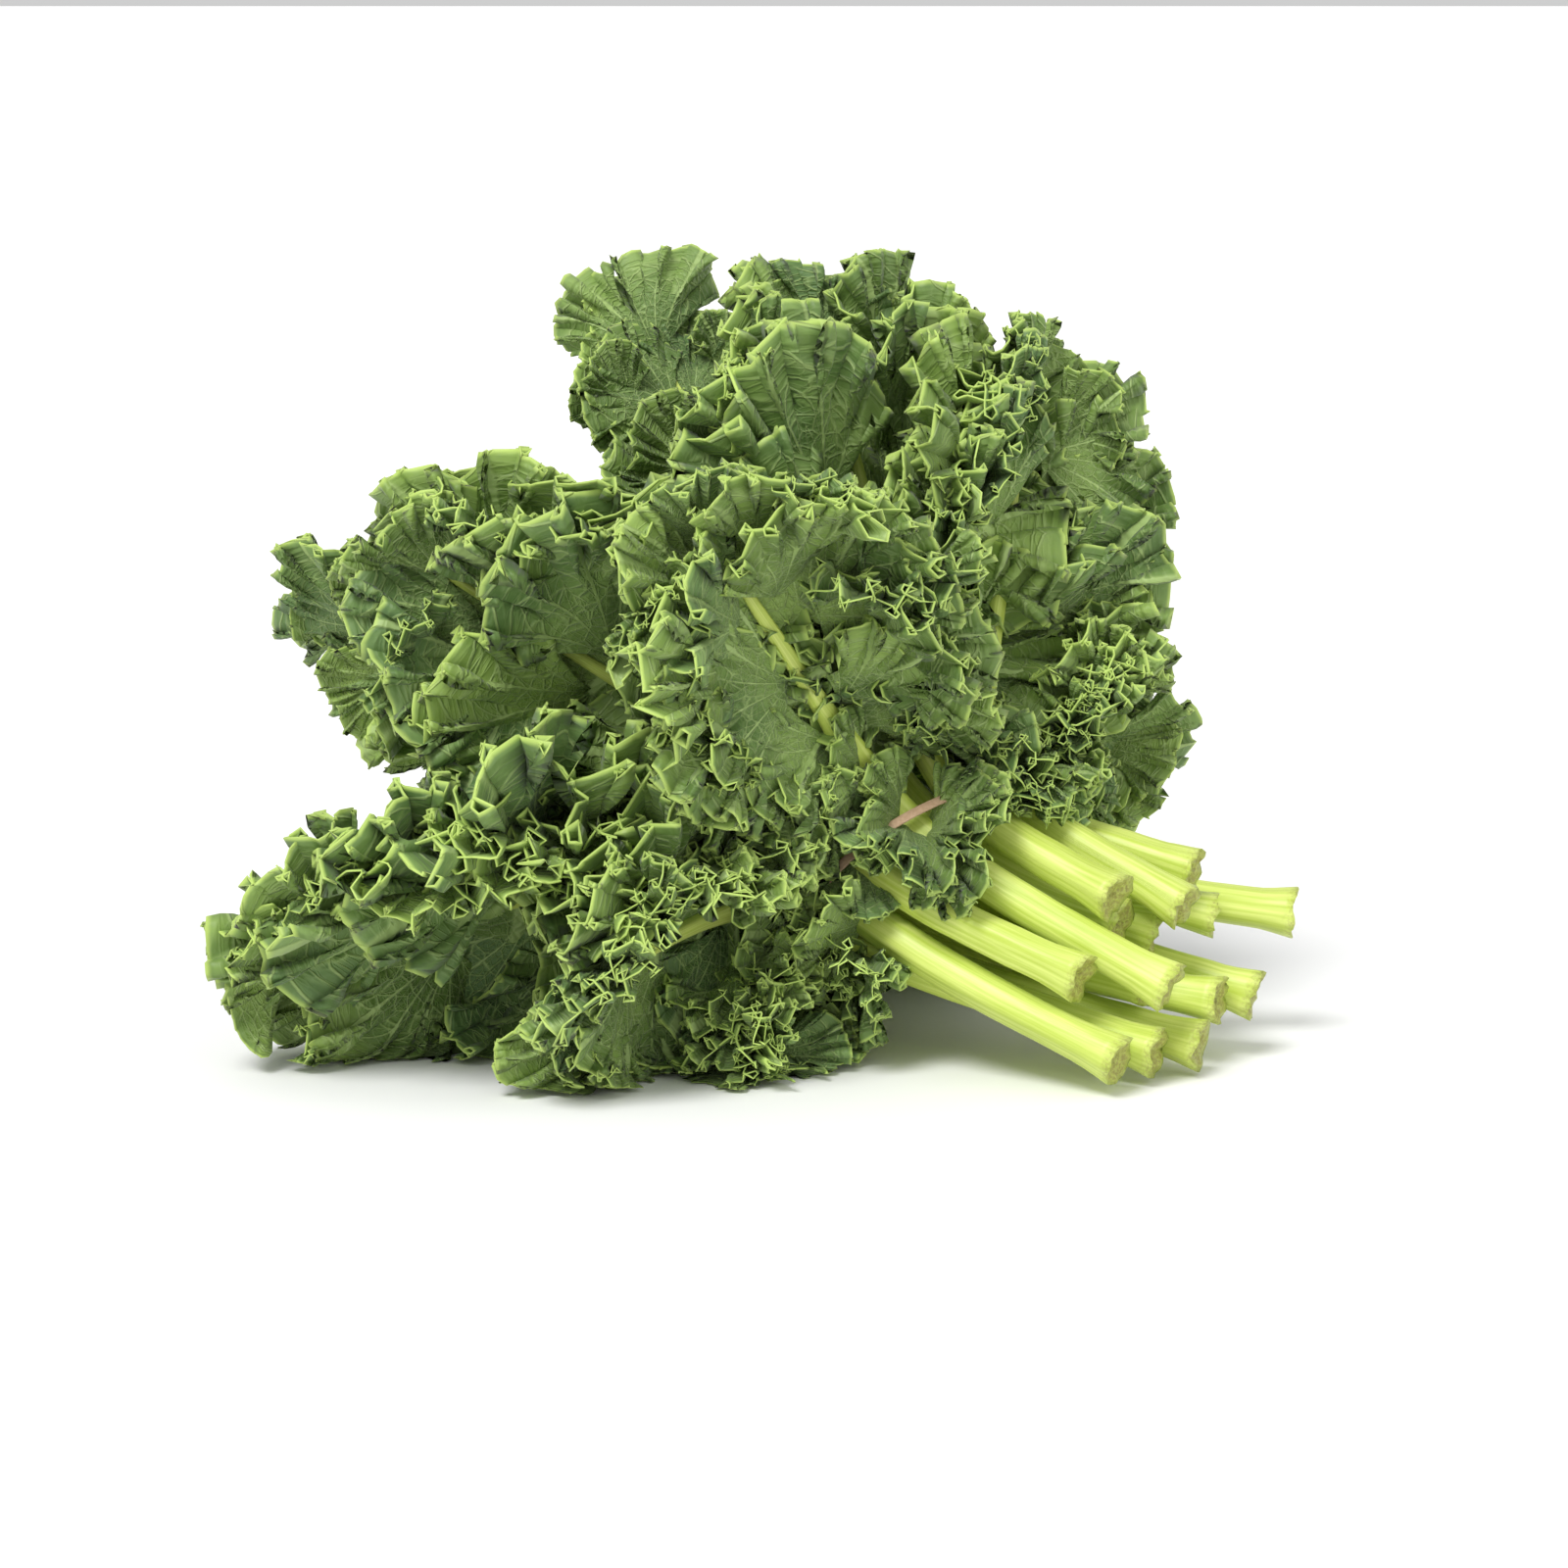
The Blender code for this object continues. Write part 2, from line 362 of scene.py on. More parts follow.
    def eased_lines(self, plans: dict[str, LeafPlan]) -> dict[str, list[Array]]:
        """Push the stalks aside, a little at a time, until none runs through another.

        Args:
            plans: The leaves by name.

        Returns:
            Each stalk's middle line.
        """
        lines = {name: self.stalk_line(plan) for name, plan in plans.items()}
        for _ in range(self.easing_rounds):
            moves = {name: [np.zeros(3) for _ in line] for name, line in lines.items()}
            for name, line in lines.items():
                for other, rival in lines.items():
                    if other == name:
                        continue
                    for i, point in enumerate(line[:-1]):
                        step, j = nearest_gap(point, rival)
                        room = self.stalk_radius(plans[name], i) + self.stalk_radius(plans[other], j)
                        short = room + self.stalk_gap - float(np.linalg.norm(step))
                        if short > 0.0:
                            moves[name][i] += unit(step) * short * 0.4
            for name, line in lines.items():
                self.move_line(plans[name], line, moves[name])
        return lines

    def move_line(self, plan: LeafPlan, line: list[Array], moves: list[Array]) -> None:
        """Move one stalk's points, keep them over the table and in the band, and smooth them."""
        for i in range(len(line) - 1):
            line[i] = line[i] + moves[i]
            line[i][2] = max(line[i][2], self.stalk_radius(plan, i) + self.stalk_gap)
            if i <= self.lower_points + 2:
                line[i] = self.inside_band(line[i], plan.stalk * MM)
        for i in range(1, len(line) - 1):
            line[i] = line[i] + ((line[i - 1] + line[i + 1]) / 2 - line[i]) * 0.06


def hermite(start: Array, end: Array, slope0: Array, slope1: Array, t: float) -> Array:
    """A point of the cubic between two points with a slope at each."""
    return (
        start * (2 * t**3 - 3 * t**2 + 1)
        + slope0 * (t**3 - 2 * t**2 + t)
        + end * (3 * t**2 - 2 * t**3)
        + slope1 * (t**3 - t**2)
    )


def nearest_gap(point: Array, line: list[Array]) -> tuple[Array, int]:
    """The shortest step to a point from a line, and the line's point that it is nearest to."""
    starts = np.array(line[:-1])
    along = np.array(line[1:]) - starts
    t = np.clip(((point - starts) * along).sum(1) / (along * along).sum(1), 0.0, 1.0)
    steps = point - (starts + along * t[:, None])
    best = int(np.argmin((steps * steps).sum(1)))
    return steps[best], best if t[best] < 0.5 else best + 1


@dataclass(frozen=True)
class Ruffle:
    """One size of frill along a sheet's margin: its sizes in millimetres, and the shares of
    the way to the margin where it starts and where it is full."""

    length: float
    height: float
    overturn: float
    inner: float
    full: float


@dataclass(kw_only=True)
class FrilledSheet:
    """A thin sheet, frilled from somewhere in its middle out to its margin.

    Its columns run along the margin and its rows from the root to the margin. Lengths are in
    millimetres.
    """

    columns: int
    row_counts: tuple[int, int, int]
    row_ends: tuple[float, float, float]
    ruffles: tuple[Ruffle, ...]
    drift: float
    skew: float
    growth: float
    start: float = 0.0
    thick: float = 0.6

    def rows(self) -> Array:
        """Shares of the way from the root to the margin, closer together at the margin."""
        marks, start = [np.array([self.start])], self.start
        for count, end in zip(self.row_counts, self.row_ends):
            marks.append(np.linspace(start, end, count + 1)[1:])
            start = end
        return np.concatenate(marks)

    def throw_frills(
        self, sheet: Array, lift: Array, strength: Array, run: Array, rng: np.random.Generator
    ) -> tuple[Array, Array]:
        """Fold the sheet, one size of frill after another.

        Args:
            sheet: The sheet's points.
            lift: How far each point is already thrown out of the sheet.
            strength: How strong the frills are at each column.
            run: Each column's length along the margin.
            rng: The source of random numbers.

        Returns:
            The folded sheet, and how far each point is thrown out of it.
        """
        u = self.rows()
        for ruffle in self.ruffles:
            bend = self.drift * wander(run, ruffle.length * 1.6, rng)
            turns = run / ruffle.length + bend
            phase = 2 * np.pi * turns[:, None] + rng.uniform(0, 6.3) + self.skew * u[None, :]
            grow = smooth_step(ruffle.inner, ruffle.full, u) ** self.growth
            size = (1.0 + 0.35 * wander(run, ruffle.length * 1.3, rng)) * strength
            envelope = size[:, None] * grow[None, :]
            sheet = fold(sheet, envelope, phase, ruffle)
            lift = lift * 0.6 + envelope * np.sin(phase)
        return sheet, lift

    def spacing(self, row: int) -> int:
        """How many columns a row's points are apart: four near the root, one at the margin."""
        near, middle, _ = np.cumsum(self.row_counts)
        return 4 if row < near else 2 if row < middle else 1

    def faces(self, index: Array, first: int, signs: tuple[int, ...]) -> list[list[int]]:
        """The sheet's faces.

        Args:
            index: The points' numbers, by column and row.
            first: The row at the root.
            signs: The ways that the rows run from there: 1, -1 or both.

        Returns:
            Faces as lists of point numbers.
        """
        faces: list[list[int]] = []
        for j in range(sum(self.row_counts)):
            for sign in signs:
                low, high = index[:, first + sign * j], index[:, first + sign * (j + 1)]
                faces += strip(low, high, self.spacing(j), self.spacing(j + 1), sign)
        return faces

    def shell(
        self, name: str, points: Array, faces: list[list[int]], numbers: dict[str, Array]
    ) -> bpy.types.Mesh:
        """The sheet as a closed thin shell.

        Args:
            name: The mesh's name.
            points: Its points, in metres.
            faces: Its faces as lists of point numbers.
            numbers: What the finishes read, by name.

        Returns:
            The mesh, its underside's faces first and its upper side's with the second material.
        """
        made = mesh_object(name, points.reshape(-1, 3), faces)
        write_numbers(made.data, numbers)
        drop_loose(made.data)
        wall = made.modifiers.new("wall", "SOLIDIFY")
        wall.thickness = self.thick * MM
        wall.offset = 0.0
        wall.material_offset = 1
        wall.material_offset_rim = 0
        return baked(made)


@dataclass(kw_only=True)
class Blade(FrilledSheet):
    """The web of a blade between its lobes: a lobed outline, rolled and lightly frilled."""

    length: float
    width: float
    roll: float
    frill: float
    lobes: float = 5.0
    columns: int = 320
    row_counts: tuple[int, int, int] = (3, 3, 4)
    row_ends: tuple[float, float, float] = (0.28, 0.62, 1.0)
    roll_start: float = 0.3
    lobe_depth: float = 0.36
    tooth: float = 1.1
    tooth_length: float = 3.6
    rib: float = 0.7
    fold_height: float = 13.0
    drift: float = 0.225
    skew: float = 1.2
    growth: float = 1.15
    ruffles: tuple[Ruffle, ...] = (
        Ruffle(19.0, 5.5, 3.0, 0.4, 0.95),
        Ruffle(8.0, 2.2, 1.3, 0.6, 1.0),
    )

    def outline(self, rng: np.random.Generator) -> tuple[Array, Array, Array]:
        """One side's lobed margin, evenly spaced along its length.

        Args:
            rng: The source of random numbers.

        Returns:
            Share of the leaf's length, distance from its midline, and length along the margin.
        """
        share = np.linspace(0.0, 1.0, 6000)
        swell = np.sin(np.pi * np.minimum(0.06 + 0.94 * share, 1.0) ** 1.12)
        half = self.width / 2 * np.maximum(swell, 0.0) ** 0.46
        half = np.minimum(half, 9.0 + share * self.length * 0.75)
        lobe = share * self.lobes + 0.12 * wander(share, 0.25, rng)
        cut = (0.5 - 0.5 * np.cos(2 * np.pi * lobe)) ** 1.7 * (1.0 + 0.3 * wander(share, 0.3, rng))
        notch = 0.05 * np.cos(2 * np.pi * lobe * 3.0 + rng.uniform(0, 6.3))
        fade = smooth_step(0.0, 0.1, share) * smooth_step(1.0, 0.93, share)
        half = half * (1.0 - (self.lobe_depth * cut + notch) * fade)
        run = np.cumsum(np.hypot(np.diff(share) * self.length, np.diff(half)))
        run = np.concatenate([[0.0], run])
        even = np.linspace(0.0, run[-1], self.columns + 1)
        return np.interp(even, run, share), np.interp(even, run, half), even

    def half_sheet(self, side: float, rng: np.random.Generator) -> dict[str, Array]:
        """One half of the blade before it is laid in its place.

        Args:
            side: 1 for the left half and -1 for the right.
            rng: The source of random numbers.

        Returns:
            The sheet's points (along, across, out) and what the finishes read, by name.
        """
        share, edge_w, run = self.outline(rng)
        u = self.rows()
        lobe = share * self.lobes
        root_x = 0.93 * self.length * share**1.5
        x = root_x[:, None] + (share * self.length - root_x)[:, None] * u[None, :] ** 1.3
        roll = math.radians(self.roll) * (1.0 + 0.5 * wander(share, 0.16, rng))
        turned = smooth_step(self.roll_start, 1.05, u)[None, :] * roll[:, None]
        q = edge_w[:, None] * rising_sum(np.cos(turned), u)
        h = edge_w[:, None] * rising_sum(np.sin(turned), u)
        teeth = np.abs(np.sin(np.pi * (run / self.tooth_length + 0.4 * wander(run, 9.0, rng))))
        bite = (self.tooth * (teeth - 0.6))[:, None] * smooth_step(0.92, 1.0, u)[None, :]
        q = q + bite * np.cos(turned)
        h = h + bite * np.sin(turned)
        sheet = np.stack([x, side * q, h], axis=-1)
        fade = smooth_step(1.0, 0.95, share) * smooth_step(0.0, 0.03, share)
        across = smooth_step(0.04, 0.85, u) * edge_w.max() / 70.0
        wave = np.cos(2 * np.pi * lobe) + 0.7 * wander(share, 0.11, rng)
        sheet[..., 2] += self.fold_height * self.frill * (wave * fade)[:, None] * across[None, :]
        lift = (wave * fade)[:, None] * across[None, :]
        sheet, lift = self.throw_frills(sheet, lift, fade * self.frill, run, rng)
        away = np.abs(lobe - np.round(lobe)) * self.length / self.lobes
        ridge = self.rib * np.exp(-((away / 1.6) ** 2))
        sheet[..., 2] += ridge[:, None] * ((1.0 - u) ** 1.4 * smooth_step(0.0, 0.05, u))[None, :]
        return {
            "sheet": sheet,
            "edge": np.broadcast_to(u[None, :], x.shape).copy(),
            "vein": np.broadcast_to(lobe[:, None], x.shape).copy(),
            "flat_x": x,
            "flat_y": side * edge_w[:, None] * u[None, :],
            # lift is read by the leaf finishes to paint frill crests lighter, a painted highlight
            "lift": side * lift,
        }

    def whole_sheet(self, rng: np.random.Generator) -> dict[str, Array]:
        """Both halves as one grid, from the right margin over the midrib to the left margin."""
        left = self.half_sheet(1.0, rng)
        right = self.half_sheet(-1.0, rng)
        weight = smooth_step(0.0, 1.0, np.linspace(0, 1, 17))[:, None, None]
        middle = (left["sheet"][-17:] + right["sheet"][-17:]) / 2
        middle[..., 1] = 0.0
        for half in (left, right):
            half["sheet"][-17:] += (middle - half["sheet"][-17:]) * weight
        shared = (left["sheet"][:, 0] + right["sheet"][:, 0]) / 2
        left["sheet"][:, 0] = shared
        return {
            name: np.concatenate([right[name][:, :0:-1], left[name]], axis=1) for name in left
        }

    def build(self, name: str, place: Place, rng: np.random.Generator) -> bpy.types.Mesh:
        """The blade as a closed thin shell.

        Args:
            name: The mesh's name.
            place: Turns distances along, across and out of the blade into points.
            rng: The source of random numbers.

        Returns:
            The mesh.
        """
        grid = self.whole_sheet(rng)
        sheet = grid.pop("sheet") * MM
        points = place(sheet[..., 0], sheet[..., 1], sheet[..., 2])
        columns, rows = points.shape[:2]
        index = np.arange(columns * rows).reshape(columns, rows)
        index[-1, rows // 2 + 1:] = index[-1, : rows // 2][::-1]
        return self.shell(name, points, self.faces(index, rows // 2, (1, -1)), grid)


@dataclass(kw_only=True)
class Lobe(FrilledSheet):
    """One fan-shaped lobe of a blade, throwing tighter and tighter frills towards its margin.

    It spreads from the origin along +X, underside up.
    """

    spread: float
    reach: float = LOBE_REACH
    dish: float = 9.0
    columns: int = 144
    row_counts: tuple[int, int, int] = (3, 3, 5)
    row_ends: tuple[float, float, float] = (0.42, 0.66, 1.0)
    start: float = 0.04
    vein_spacing: float = 2.6 / 7.0
    tooth: float = 1.5
    tooth_length: float = 3.4
    drift: float = 0.25
    skew: float = 1.4
    growth: float = 1.1
    ruffles: tuple[Ruffle, ...] = (
        Ruffle(16.0, 5.4, 2.8, 0.4, 0.95),
        Ruffle(6.8, 3.3, 2.1, 0.54, 0.97),
        Ruffle(4.0, 0.8, 0.4, 0.8, 1.0),
    )

    def build(self, name: str, rng: np.random.Generator) -> bpy.types.Mesh:
        """The lobe as a closed thin shell.

        Args:
            name: The mesh's name.
            rng: The source of random numbers.

        Returns:
            The mesh.
        """
        u = self.rows()
        angle = np.radians(np.linspace(-self.spread, self.spread, self.columns + 1))
        notch = np.abs(np.sin(angle * 2.4 + rng.uniform(-0.5, 0.5))) ** 0.6
        edge = self.reach * (0.62 + 0.38 * np.cos(angle)) * (0.68 + 0.32 * notch)
        edge = edge * (1.0 + 0.07 * wander(angle, 0.2, rng))
        step = np.hypot(np.diff(edge), np.diff(angle) * edge[1:])
        run = np.concatenate([[0.0], np.cumsum(step)])
        far = edge[:, None] * u[None, :]
        swing = angle[:, None] * (1.0 - 0.25 * (1.0 - u[None, :]))
        wave = wander(angle, 0.45, rng)[:, None] * (u**1.4)[None, :]
        height = 0.13 * self.reach * wave - self.dish * (u**2 - 0.5 * u)[None, :]
        sheet = np.stack([far * np.cos(swing), far * np.sin(swing), height], axis=-1)
        fade = smooth_step(1.0, 0.86, np.abs(angle) / np.radians(self.spread))
        sheet, lift = self.throw_frills(sheet, wave, 0.4 + 0.6 * fade, run, rng)
        turns = run / self.tooth_length + 0.4 * wander(run, 9.0, rng)
        teeth = np.abs(np.sin(np.pi * turns)) - 0.6
        outwards = unit(np.gradient(sheet, axis=1))
        bite = self.tooth * teeth[:, None] * smooth_step(0.9, 1.0, u)[None, :]
        sheet = sheet + outwards * bite[..., None]
        index = np.arange(sheet.shape[0] * sheet.shape[1]).reshape(sheet.shape[:2])
        numbers = {
            "edge": np.broadcast_to(u[None, :], far.shape),
            "vein": np.broadcast_to(angle[:, None], far.shape) / self.vein_spacing,
            "flat_x": far * np.cos(swing),
            "flat_y": far * np.sin(swing),
            # lift is read by the leaf finishes to paint frill crests lighter, a painted highlight
            "lift": lift,
        }
        return self.shell(name, sheet * MM, self.faces(index, 0, (1,)), numbers)


@dataclass
class Root:
    """Where a lobe grows: its place, the way it spreads, its underside's facing and its size."""

    place: Array
    ahead: Array
    facing: Array
    size: float
    tint: float

    def turn(self) -> list[float]:
        """The lobe's rotation as a quaternion."""
        x = unit(self.ahead)
        z = unit(self.facing - x * float(self.facing @ x))
        y = np.cross(z, x)
        return list(Matrix((x, y, z)).transposed().to_quaternion())


class LobeGrower:
    """Sets ready-made lobes on roots by geometry nodes."""

    def __init__(self, lobes: bpy.types.Collection, upper: bpy.types.Material) -> None:
        """Build the node tree.

        Args:
            lobes: The ready-made lobes.
            upper: The material of the lobes' upper sides.
        """
        self.lobes = lobes
        self.upper = upper
        self.tree = bpy.data.node_groups.new("lobes_on_roots", "GeometryNodeTree")
        face = self.tree.interface
        face.new_socket("Roots", in_out="INPUT", socket_type="NodeSocketGeometry")
        self.lobes_input = face.new_socket(
            "Lobes", in_out="INPUT", socket_type="NodeSocketCollection"
        ).identifier
        self.upper_input = face.new_socket(
            "Upper side", in_out="INPUT", socket_type="NodeSocketMaterial"
        ).identifier
        face.new_socket("Blade", in_out="OUTPUT", socket_type="NodeSocketGeometry")
        self.lay_nodes()

    def node(self, kind: str, **settings: object) -> bpy.types.Node:
        """Add a node with its settings."""
        made = self.tree.nodes.new(kind)
        for key, value in settings.items():
            setattr(made, key, value)
        return made

    def lay_nodes(self) -> None:
        """Instance a lobe on each root, realise them and give them their materials."""
        link = self.tree.links.new
        source, target = self.node("NodeGroupInput"), self.node("NodeGroupOutput")
        ready = self.node("GeometryNodeCollectionInfo")
        ready.inputs["Separate Children"].default_value = True
        ready.inputs["Reset Children"].default_value = True
        pick = self.node("GeometryNodeInputNamedAttribute", data_type="INT")
        pick.inputs["Name"].default_value = "pick"
        turn = self.node("GeometryNodeInputNamedAttribute", data_type="QUATERNION")
        turn.inputs["Name"].default_value = "turn"
        size = self.node("GeometryNodeInputNamedAttribute", data_type="FLOAT")
        size.inputs["Name"].default_value = "size"
        grow = self.node("GeometryNodeInstanceOnPoints")
        grow.inputs["Pick Instance"].default_value = True
        real = self.node("GeometryNodeRealizeInstances")
        number = self.node("GeometryNodeInputMaterialIndex")
        is_upper = self.node("FunctionNodeCompare", data_type="INT", operation="EQUAL")
        is_upper.inputs[3].default_value = 1
        paint = self.node("GeometryNodeSetMaterial")
        link(source.outputs["Lobes"], ready.inputs["Collection"])
        link(source.outputs["Roots"], grow.inputs["Points"])
        link(ready.outputs[0], grow.inputs["Instance"])
        link(pick.outputs["Attribute"], grow.inputs["Instance Index"])
        link(turn.outputs["Attribute"], grow.inputs["Rotation"])
        link(size.outputs["Attribute"], grow.inputs["Scale"])
        link(grow.outputs["Instances"], real.inputs["Geometry"])
        link(real.outputs["Geometry"], paint.inputs["Geometry"])
        link(number.outputs[0], is_upper.inputs[2])
        link(is_upper.outputs[0], paint.inputs["Selection"])
        link(source.outputs["Upper side"], paint.inputs["Material"])
        link(paint.outputs["Geometry"], target.inputs["Blade"])

    def grow(self, name: str, roots: list[Root], rng: np.random.Generator) -> bpy.types.Mesh:
        """The lobes of one leaf as one mesh.

        Args:
            name: The mesh's name.
            roots: Where the lobes grow.
            rng: The source of random numbers.

        Returns:
            The mesh.
        """
        points = mesh_object(name, np.array([root.place for root in roots]), [])
        mesh = points.data
        picks = rng.integers(0, len(self.lobes.objects), len(roots))
        mesh.attributes.new("pick", "INT", "POINT").data.foreach_set("value", picks)
        turns = np.array([root.turn() for root in roots], dtype=np.float32).ravel()
        mesh.attributes.new("turn", "QUATERNION", "POINT").data.foreach_set("value", turns)
        write_numbers(mesh, {"size": [root.size for root in roots]})
        write_numbers(mesh, {"tint": [root.tint for root in roots]})
        grower = points.modifiers.new("lobes", "NODES")
        grower.node_group = self.tree
        grower[self.lobes_input] = self.lobes
        grower[self.upper_input] = self.upper
        return baked(points)


def ready_lobes(skins: list[bpy.types.Material]) -> bpy.types.Collection:
    """A few different lobes for the geometry nodes to set."""
    lobes = bpy.data.collections.new("ready_lobes")
    for number in range(READY_LOBES):
        rng = np.random.default_rng(FIRST_LOBE_SEED + number)
        mesh = Lobe(spread=float(rng.uniform(62, 84))).build(f"lobe_{number}", rng)
        mesh.materials.clear()
        for skin in skins:
            mesh.materials.append(skin)
        lobes.objects.link(bpy.data.objects.new(f"lobe_{number}", mesh))
    return lobes


def remove_lobes(lobes: bpy.types.Collection) -> None:
    """Remove the ready-made lobes once every leaf has its own."""
    for lobe in list(lobes.objects):
        mesh = lobe.data
        bpy.data.objects.remove(lobe)
        bpy.data.meshes.remove(mesh)
    bpy.data.collections.remove(lobes)


def strip(low: Array, high: Array, inner: int, outer: int, sign: int) -> list[list[int]]:
    """Faces between two rows of points, of which the second may be twice as fine.

    Args:
        low: The first row's point numbers.
        high: The second row's point numbers.
        inner: The first row uses every so many points.
        outer: The second row uses every so many points.
        sign: 1 or -1, which way round the faces run.

    Returns:
        Faces as lists of point numbers.
    """
    a, b = low[:-1:inner], low[inner::inner]
    c, d = high[inner::inner], high[:-1:inner]
    if inner == outer:
        rings = [np.stack([a, b, c, d], axis=1)]
    else:
        mid = high[outer:-1:inner]
        rings = [np.stack(ring, axis=1) for ring in ((a, mid, d), (a, b, mid), (b, c, mid))]
    return [face for ring in rings for face in ring[:, ::sign].tolist()]


def rising_sum(values: Array, u: Array) -> Array:
    """Add values up along the rows, from the midrib outwards."""
    steps = (values[:, 1:] + values[:, :-1]) / 2 * np.diff(u)[None, :]
    return np.concatenate([np.zeros((len(values), 1)), np.cumsum(steps, axis=1)], axis=1)


def fold(sheet: Array, envelope: Array, phase: Array, ruffle: Ruffle) -> Array:
    """Throw a sheet into one size of frill, folding over where the frill is full.

    Args:
        sheet: The sheet's points so far.
        envelope: How strong the frill is at each point.
        phase: Where along the wave each point is.
        ruffle: The frill's sizes.

    Returns:
        The folded sheet.
    """
    along = unit(np.gradient(sheet, axis=0))
    across = np.gradient(sheet, axis=1)
    normal = unit(np.cross(along, across))
    wave = ruffle.height * envelope * np.sin(phase)
    lean = ruffle.overturn * envelope * np.sin(2 * phase)
    return sheet + wave[..., None] * normal + lean[..., None] * along


def mesh_object(name: str, points: Array, faces: list[list[int]]) -> bpy.types.Object:
    """A mesh object from points and faces.

    Args:
        name: The object's name.
        points: Its points.
        faces: Its faces as lists of point numbers.

    Returns:
        The object, linked to the scene.
    """
    mesh = bpy.data.meshes.new(name)
    mesh.from_pydata(points.tolist(), [], faces)
    mesh.shade_smooth()
    made = bpy.data.objects.new(name, mesh)
    bpy.context.scene.collection.objects.link(made)
    return made


def write_numbers(mesh: bpy.types.Mesh, numbers: dict[str, Array]) -> None:
    """Store a number at each of a mesh's points, by name."""
    for key, values in numbers.items():
        layer = mesh.attributes.new(key, "FLOAT", "POINT")
        layer.data.foreach_set("value", np.asarray(values, dtype=np.float32).ravel())


def drop_loose(mesh: bpy.types.Mesh) -> None:
    """Remove points that no face uses."""
    shape = bmesh.new()
    shape.from_mesh(mesh)
    loose = [v for v in shape.verts if not v.link_faces]
    bmesh.ops.delete(shape, geom=loose, context="VERTS")
    shape.to_mesh(mesh)
    shape.free()


def baked(made: bpy.types.Object) -> bpy.types.Mesh:
    """A plain mesh of an object with its modifiers applied, and the object removed."""
    depsgraph = bpy.context.evaluated_depsgraph_get()
    mesh = bpy.data.meshes.new_from_object(made.evaluated_get(depsgraph))
    old = made.data
    bpy.data.objects.remove(made)
    bpy.data.meshes.remove(old)
    return mesh


def finish_piece(
    name: str, mesh: bpy.types.Mesh, materials: list[bpy.types.Material], node: str
) -> bpy.types.Object:
    """Add a finished piece that rides with the bunch and stands for a CAD node.

    Args:
        name: The piece's name.
        mesh: Its mesh.
        materials: Its materials, in the order of its faces' numbers.
        node: The node it stands for.

    Returns:
        The piece.
    """
    mesh.materials.clear()
    for material in materials:
        mesh.materials.append(material)
    piece = bpy.data.objects.new(name, mesh)
    bpy.context.scene.collection.objects.link(piece)
    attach(piece, BODY)
    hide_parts(node)
    LOG.info("%s: %d faces", name, len(mesh.polygons))
    return piece


